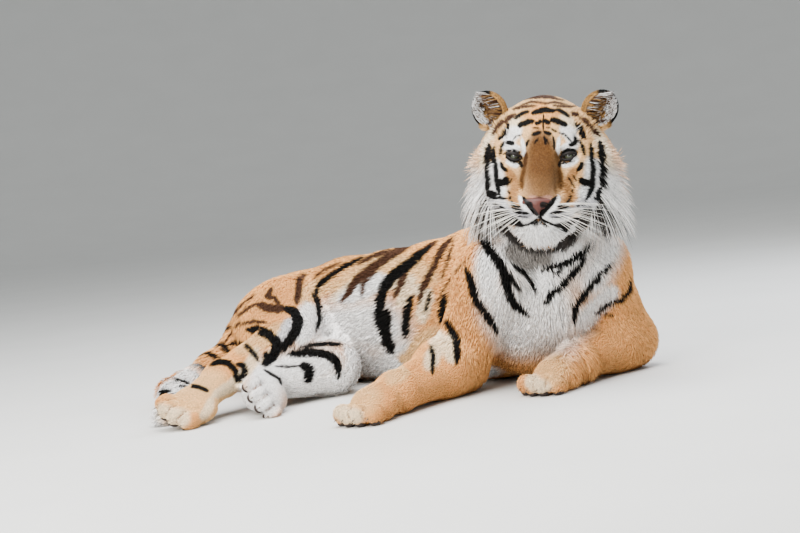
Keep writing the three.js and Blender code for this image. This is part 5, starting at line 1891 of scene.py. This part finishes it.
def fromHub(local):
    # how far out from the hub, seen from ahead, and how far up
    return np.abs(local[:, 0]) - ruffHub, local[:, 2] + ruffHub


def ruffAngle(local):
    # degrees above the horizontal, seen from ahead, round the middle of the cheek
    out, up = fromHub(local)
    return np.degrees(np.arctan2(up, out))


def growRuff(s=ruffLook):
    def density(points):
        local = inHead(points)
        angle = ruffAngle(local)
        out = np.hypot(*fromHub(local))
        inBand = (angle < s["from"]) & (angle > s["to"]) & (out > 40) & (out < 128)
        deep = (local[:, 1] > 34) & (local[:, 1] < 190) & (np.abs(local[:, 0]) > 60)
        return np.where(inBand & deep, s["density"], 0)

    root = sowRoots(skin, density, 17)
    draw, count = root["draw"], len(root["at"])
    local = inHead(root["at"])
    angle = ruffAngle(local)
    share = (s["from"] - angle) / (s["from"] - s["to"])
    peak = np.exp(-(((share - 0.66) / 0.34) ** 2))
    sign = np.sign(local[:, 0])
    ray = np.column_stack([sign * np.cos(np.radians(angle)), np.zeros(count), np.sin(np.radians(angle))])
    lie = ray * 0.84 + np.column_stack([np.zeros(count), 0.5 + 0.1 * peak, -0.34 - 0.1 * peak])
    lie = lie + draw.normal(0, 0.1, (count, 3))
    sizes = {
        "hair": (s["short"] + (s["long"] - s["short"]) * peak) * draw.uniform(0.6, 1.08, count),
        "wide": s["wide"] * draw.uniform(0.6, 1.25, count),
        "lift": np.full(count, s["lift"]),
    }
    white, slate = (np.array(linear(coatTones[tone])) for tone in ("white", "slate"))
    low = smoothStep((-6 - angle) / 30) * smoothStep((96 - local[:, 1]) / 50)
    streak = (draw.random(count) < s["dark"] * low)[:, None]
    wash = np.clip((0.25 + 0.75 * smoothStep((26 - angle) / 40)) * draw.uniform(0.75, 1.1, count), 0, 1)
    uneven = (draw.uniform(0.72, 1.06, count) * np.where(draw.random(count) < 0.1, 0.5, 1))[:, None]

    def paint(at):
        # bleached towards white, but for the black marks
        tones = coatTonesAt(at, root["normal"])
        bleach = (wash * smoothStep((tones[:, 0] - 0.15) / 0.2))[:, None]
        return np.where(streak, slate, tones * (1 - bleach) + white * bleach) * uneven

    lieInWork = lie @ np.array(headFrame.to_3x3()).T
    growTufts("ruff_coat", root, lieInWork, sizes, paint, 4, s["droop"], 0.7)


def growBeard(s=beardLook):
    def density(points):
        local = inHead(points)
        under = (np.abs(local[:, 2] + 206) < 30) & (np.abs(local[:, 1]) < 70) & (np.abs(local[:, 0]) < 78)
        return np.where(under, s["density"], 0)

    root = sowRoots(skin, density, 19)
    draw, count = root["draw"], len(root["at"])
    lie = np.column_stack([np.zeros(count), np.full(count, 0.45), np.full(count, -0.9)])
    lie += draw.normal(0, 0.12, (count, 3))
    sizes = {
        "hair": s["hair"] * draw.uniform(0.5, 1.2, count),
        "wide": s["wide"] * draw.uniform(0.7, 1.2, count),
        "lift": np.full(count, s["lift"]),
    }
    paint = painterOf(root["normal"], np.zeros(3), draw.uniform(0.8, 1.1, count)[:, None])
    growTufts("beard_coat", root, lie, sizes, paint, 2, 0.1, 0.8)


growRuff()
growBeard()
print("ruff and beard")

# whiskers
whiskerLook = {
    "rows": (-106, -114, -122, -131), "perRow": 6, "from": 30, "step": 6.5, "hair": 150,
    "browHairs": 5, "browHair": 58, "wide": 1.1, "lift": 0.16, "droop": 0.16,
    "tone": "f2efe9", "light": "f4f1ea", "dark": "d8d2c6", "roughness": 0.35,
}


def growWhiskers(s=whiskerLook):
    draw = np.random.default_rng(41)
    coarse = coarseFace()
    roots, lies, hairs = [], [], []
    for sign in (1, -1):
        for level, z in enumerate(s["rows"]):
            for n in range(s["perRow"] - (level == 0)):
                x = s["from"] + n * s["step"] + draw.uniform(-1.5, 1.5)
                roots.append(faceDepth([(sign * x, z + draw.uniform(-1.5, 1.5))], coarse)[0])
                lies.append((sign, 0.1 + 0.11 * n, 0.12 - 0.2 * level + draw.normal(0, 0.09)))
                hairs.append(s["hair"] * (0.55 + 0.1 * n) * draw.uniform(0.8, 1.1))
        for n in range(s["browHairs"]):
            x, z = 40 + n * 7, 34 + 3 * n + draw.uniform(-3, 3)
            roots.append(faceDepth([(sign * x, z)], coarse)[0])
            lies.append((sign * (0.3 + 0.15 * n), -0.1, 1.0))
            hairs.append(s["browHair"] * draw.uniform(0.8, 1.1))
    count = len(roots)
    _, normal = surfaceNormals(np.array(roots), coarse)
    turn = np.array(headFrame.to_3x3()).T
    place = draw.uniform(0.1, 0.9, (count, 2))
    root = {"at": fromHead(roots), "normal": normal @ turn, "place": place}
    sizes = {
        "hair": np.array(hairs), "wide": np.full(count, s["wide"]), "lift": np.full(count, s["lift"]),
    }
    tones = np.tile(linear(s["tone"]), (count, 1))
    material = cloudedMaterial("stiff_white_whisker", 90.0, s)
    lie = np.array(lies) @ turn
    growTufts("whiskers", root, lie, sizes, lambda at: tones, 4, s["droop"], 0, material)


growWhiskers()
print("whiskers")

# feet
clawLook = {
    "length": 19, "radius": 4.2,
    "tone": "3a2f28", "other": "8b7c6a", "grainMm": 3.0, "roughness": 0.35,
}
padLook = {
    "toe": (12, 15, 8), "toeHeight": 7.2,
    "balls": ((-14, -8, 19), (14, -8, 19), (0, 2, 21)), "ballHeight": 8,  # (x, y, radius)
    "tone": "231d1b", "other": "3a302c", "grainMm": 1.8, "roughness": 0.7,
}


def clawAt(claws, place, s=clawLook):
    # a cone bent down towards its point
    bm = bmesh.new()
    bmesh.ops.create_cone(bm, cap_ends=True, segments=10, radius1=s["radius"], radius2=0.2, depth=s["length"])
    sides = [e for e in bm.edges if abs(e.verts[0].co.z - e.verts[1].co.z) > 5]
    bmesh.ops.subdivide_edges(bm, edges=sides, cuts=4)
    for vert in bm.verts:
        t = vert.co.z / s["length"] + 0.5
        vert.co = place @ Vector((vert.co.x * 0.7, -vert.co.z, vert.co.y + 3 - 9 * t * t))
    addTo(claws, meshFrom(bm, "claw"))


def padAt(pads, place, at, radii):
    size = Matrix.Diagonal((*radii, 1))
    bmesh.ops.create_icosphere(
        pads, subdivisions=3, radius=1, matrix=place @ Matrix.Translation(at) @ size
    )


def makeFeet(s=padLook):
    claws, pads = bmesh.new(), bmesh.new()
    for leg in [*forelegs.values(), *hindlegs.values()]:
        place = pawFrame(leg)
        for x, y, z in toePlaces():
            clawAt(claws, place @ Matrix.Translation((x, y - 34, z - 7)))
            padAt(pads, place, (x, y - 6, s["toeHeight"]), s["toe"])
        for x, y, r in s["balls"]:
            padAt(pads, place, (x, y, s["ballHeight"]), (r, r * 0.9, 9))
    for name, bm, material, look, slot in (
        ("claws", claws, "claw_horn", clawLook, "claw"),
        ("paw_pads", pads, "rough_pad_leather", padLook, "nose_leather"),
    ):
        bmesh.ops.recalc_face_normals(bm, faces=bm.faces)
        mesh = smoothed(meshFrom(bm, name))
        setPoints(mesh, toPart(onFloor(meshPoints(mesh), 0.0)))
        finish, *_ = skinMaterial(material, look["tone"], look["roughness"], look["grainMm"], look["other"])
        mesh.materials.append(finish)
        piece = linkMesh(name, mesh)
        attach(piece, "root")


makeFeet()
print("claws and pads")


# floor and light
floorLook = {
    "half": 26, "flat": 9, "rise": 0.07,  # metres
    "light": "c9c9c6", "dark": "d0d0cd", "roughness": 0.85,
}


def makeStage(s=floorLook):
    # a pale floor that sweeps up far behind, so that no edge of it is seen
    floor = bmesh.new()
    bmesh.ops.create_grid(floor, x_segments=90, y_segments=90, size=s["half"])
    for vert in floor.verts:
        vert.co.z = s["rise"] * max(0, vert.co.xy.length - s["flat"]) ** 2
    mesh = smoothed(meshFrom(floor, "floor"))
    mesh.materials.append(cloudedMaterial("matt_painted_floor", 3.0, s))
    linkMesh("floor", mesh)


lights = {
    "overhead": {"at": (-600, -600, 3400), "size": 3.2, "power": 350, "tone": "ffffff"},
    "front": {"at": (-2200, -3600, 2200), "size": 2.4, "power": 400, "tone": "fffcf8"},
    "far": {"at": (1800, 2200, 2400), "size": 2.0, "power": 130, "tone": "eef4ff"},
}
lightsAimAt = (-200, 250, 250)
skyTone = "dfe3e6"


def makeLights():
    target = Vector(toPart(lightsAimAt))
    for name, s in lights.items():
        data = bpy.data.lights.new(name, "AREA")
        data.size = s["size"]
        data.energy = s["power"]
        data.color = linear(s["tone"])
        light = bpy.data.objects.new(name, data)
        light.location = toPart(s["at"])
        light.rotation_euler = (target - light.location).to_track_quat("-Z", "Y").to_euler()
        bpy.context.scene.collection.objects.link(light)
    world = bpy.data.worlds.new("studio")
    world.use_nodes = True
    sky = world.node_tree.nodes["Background"]
    sky.inputs["Color"].default_value = (*linear(skyTone), 1)
    sky.inputs["Strength"].default_value = 1.0
    bpy.context.scene.world = world


makeStage()
makeLights()
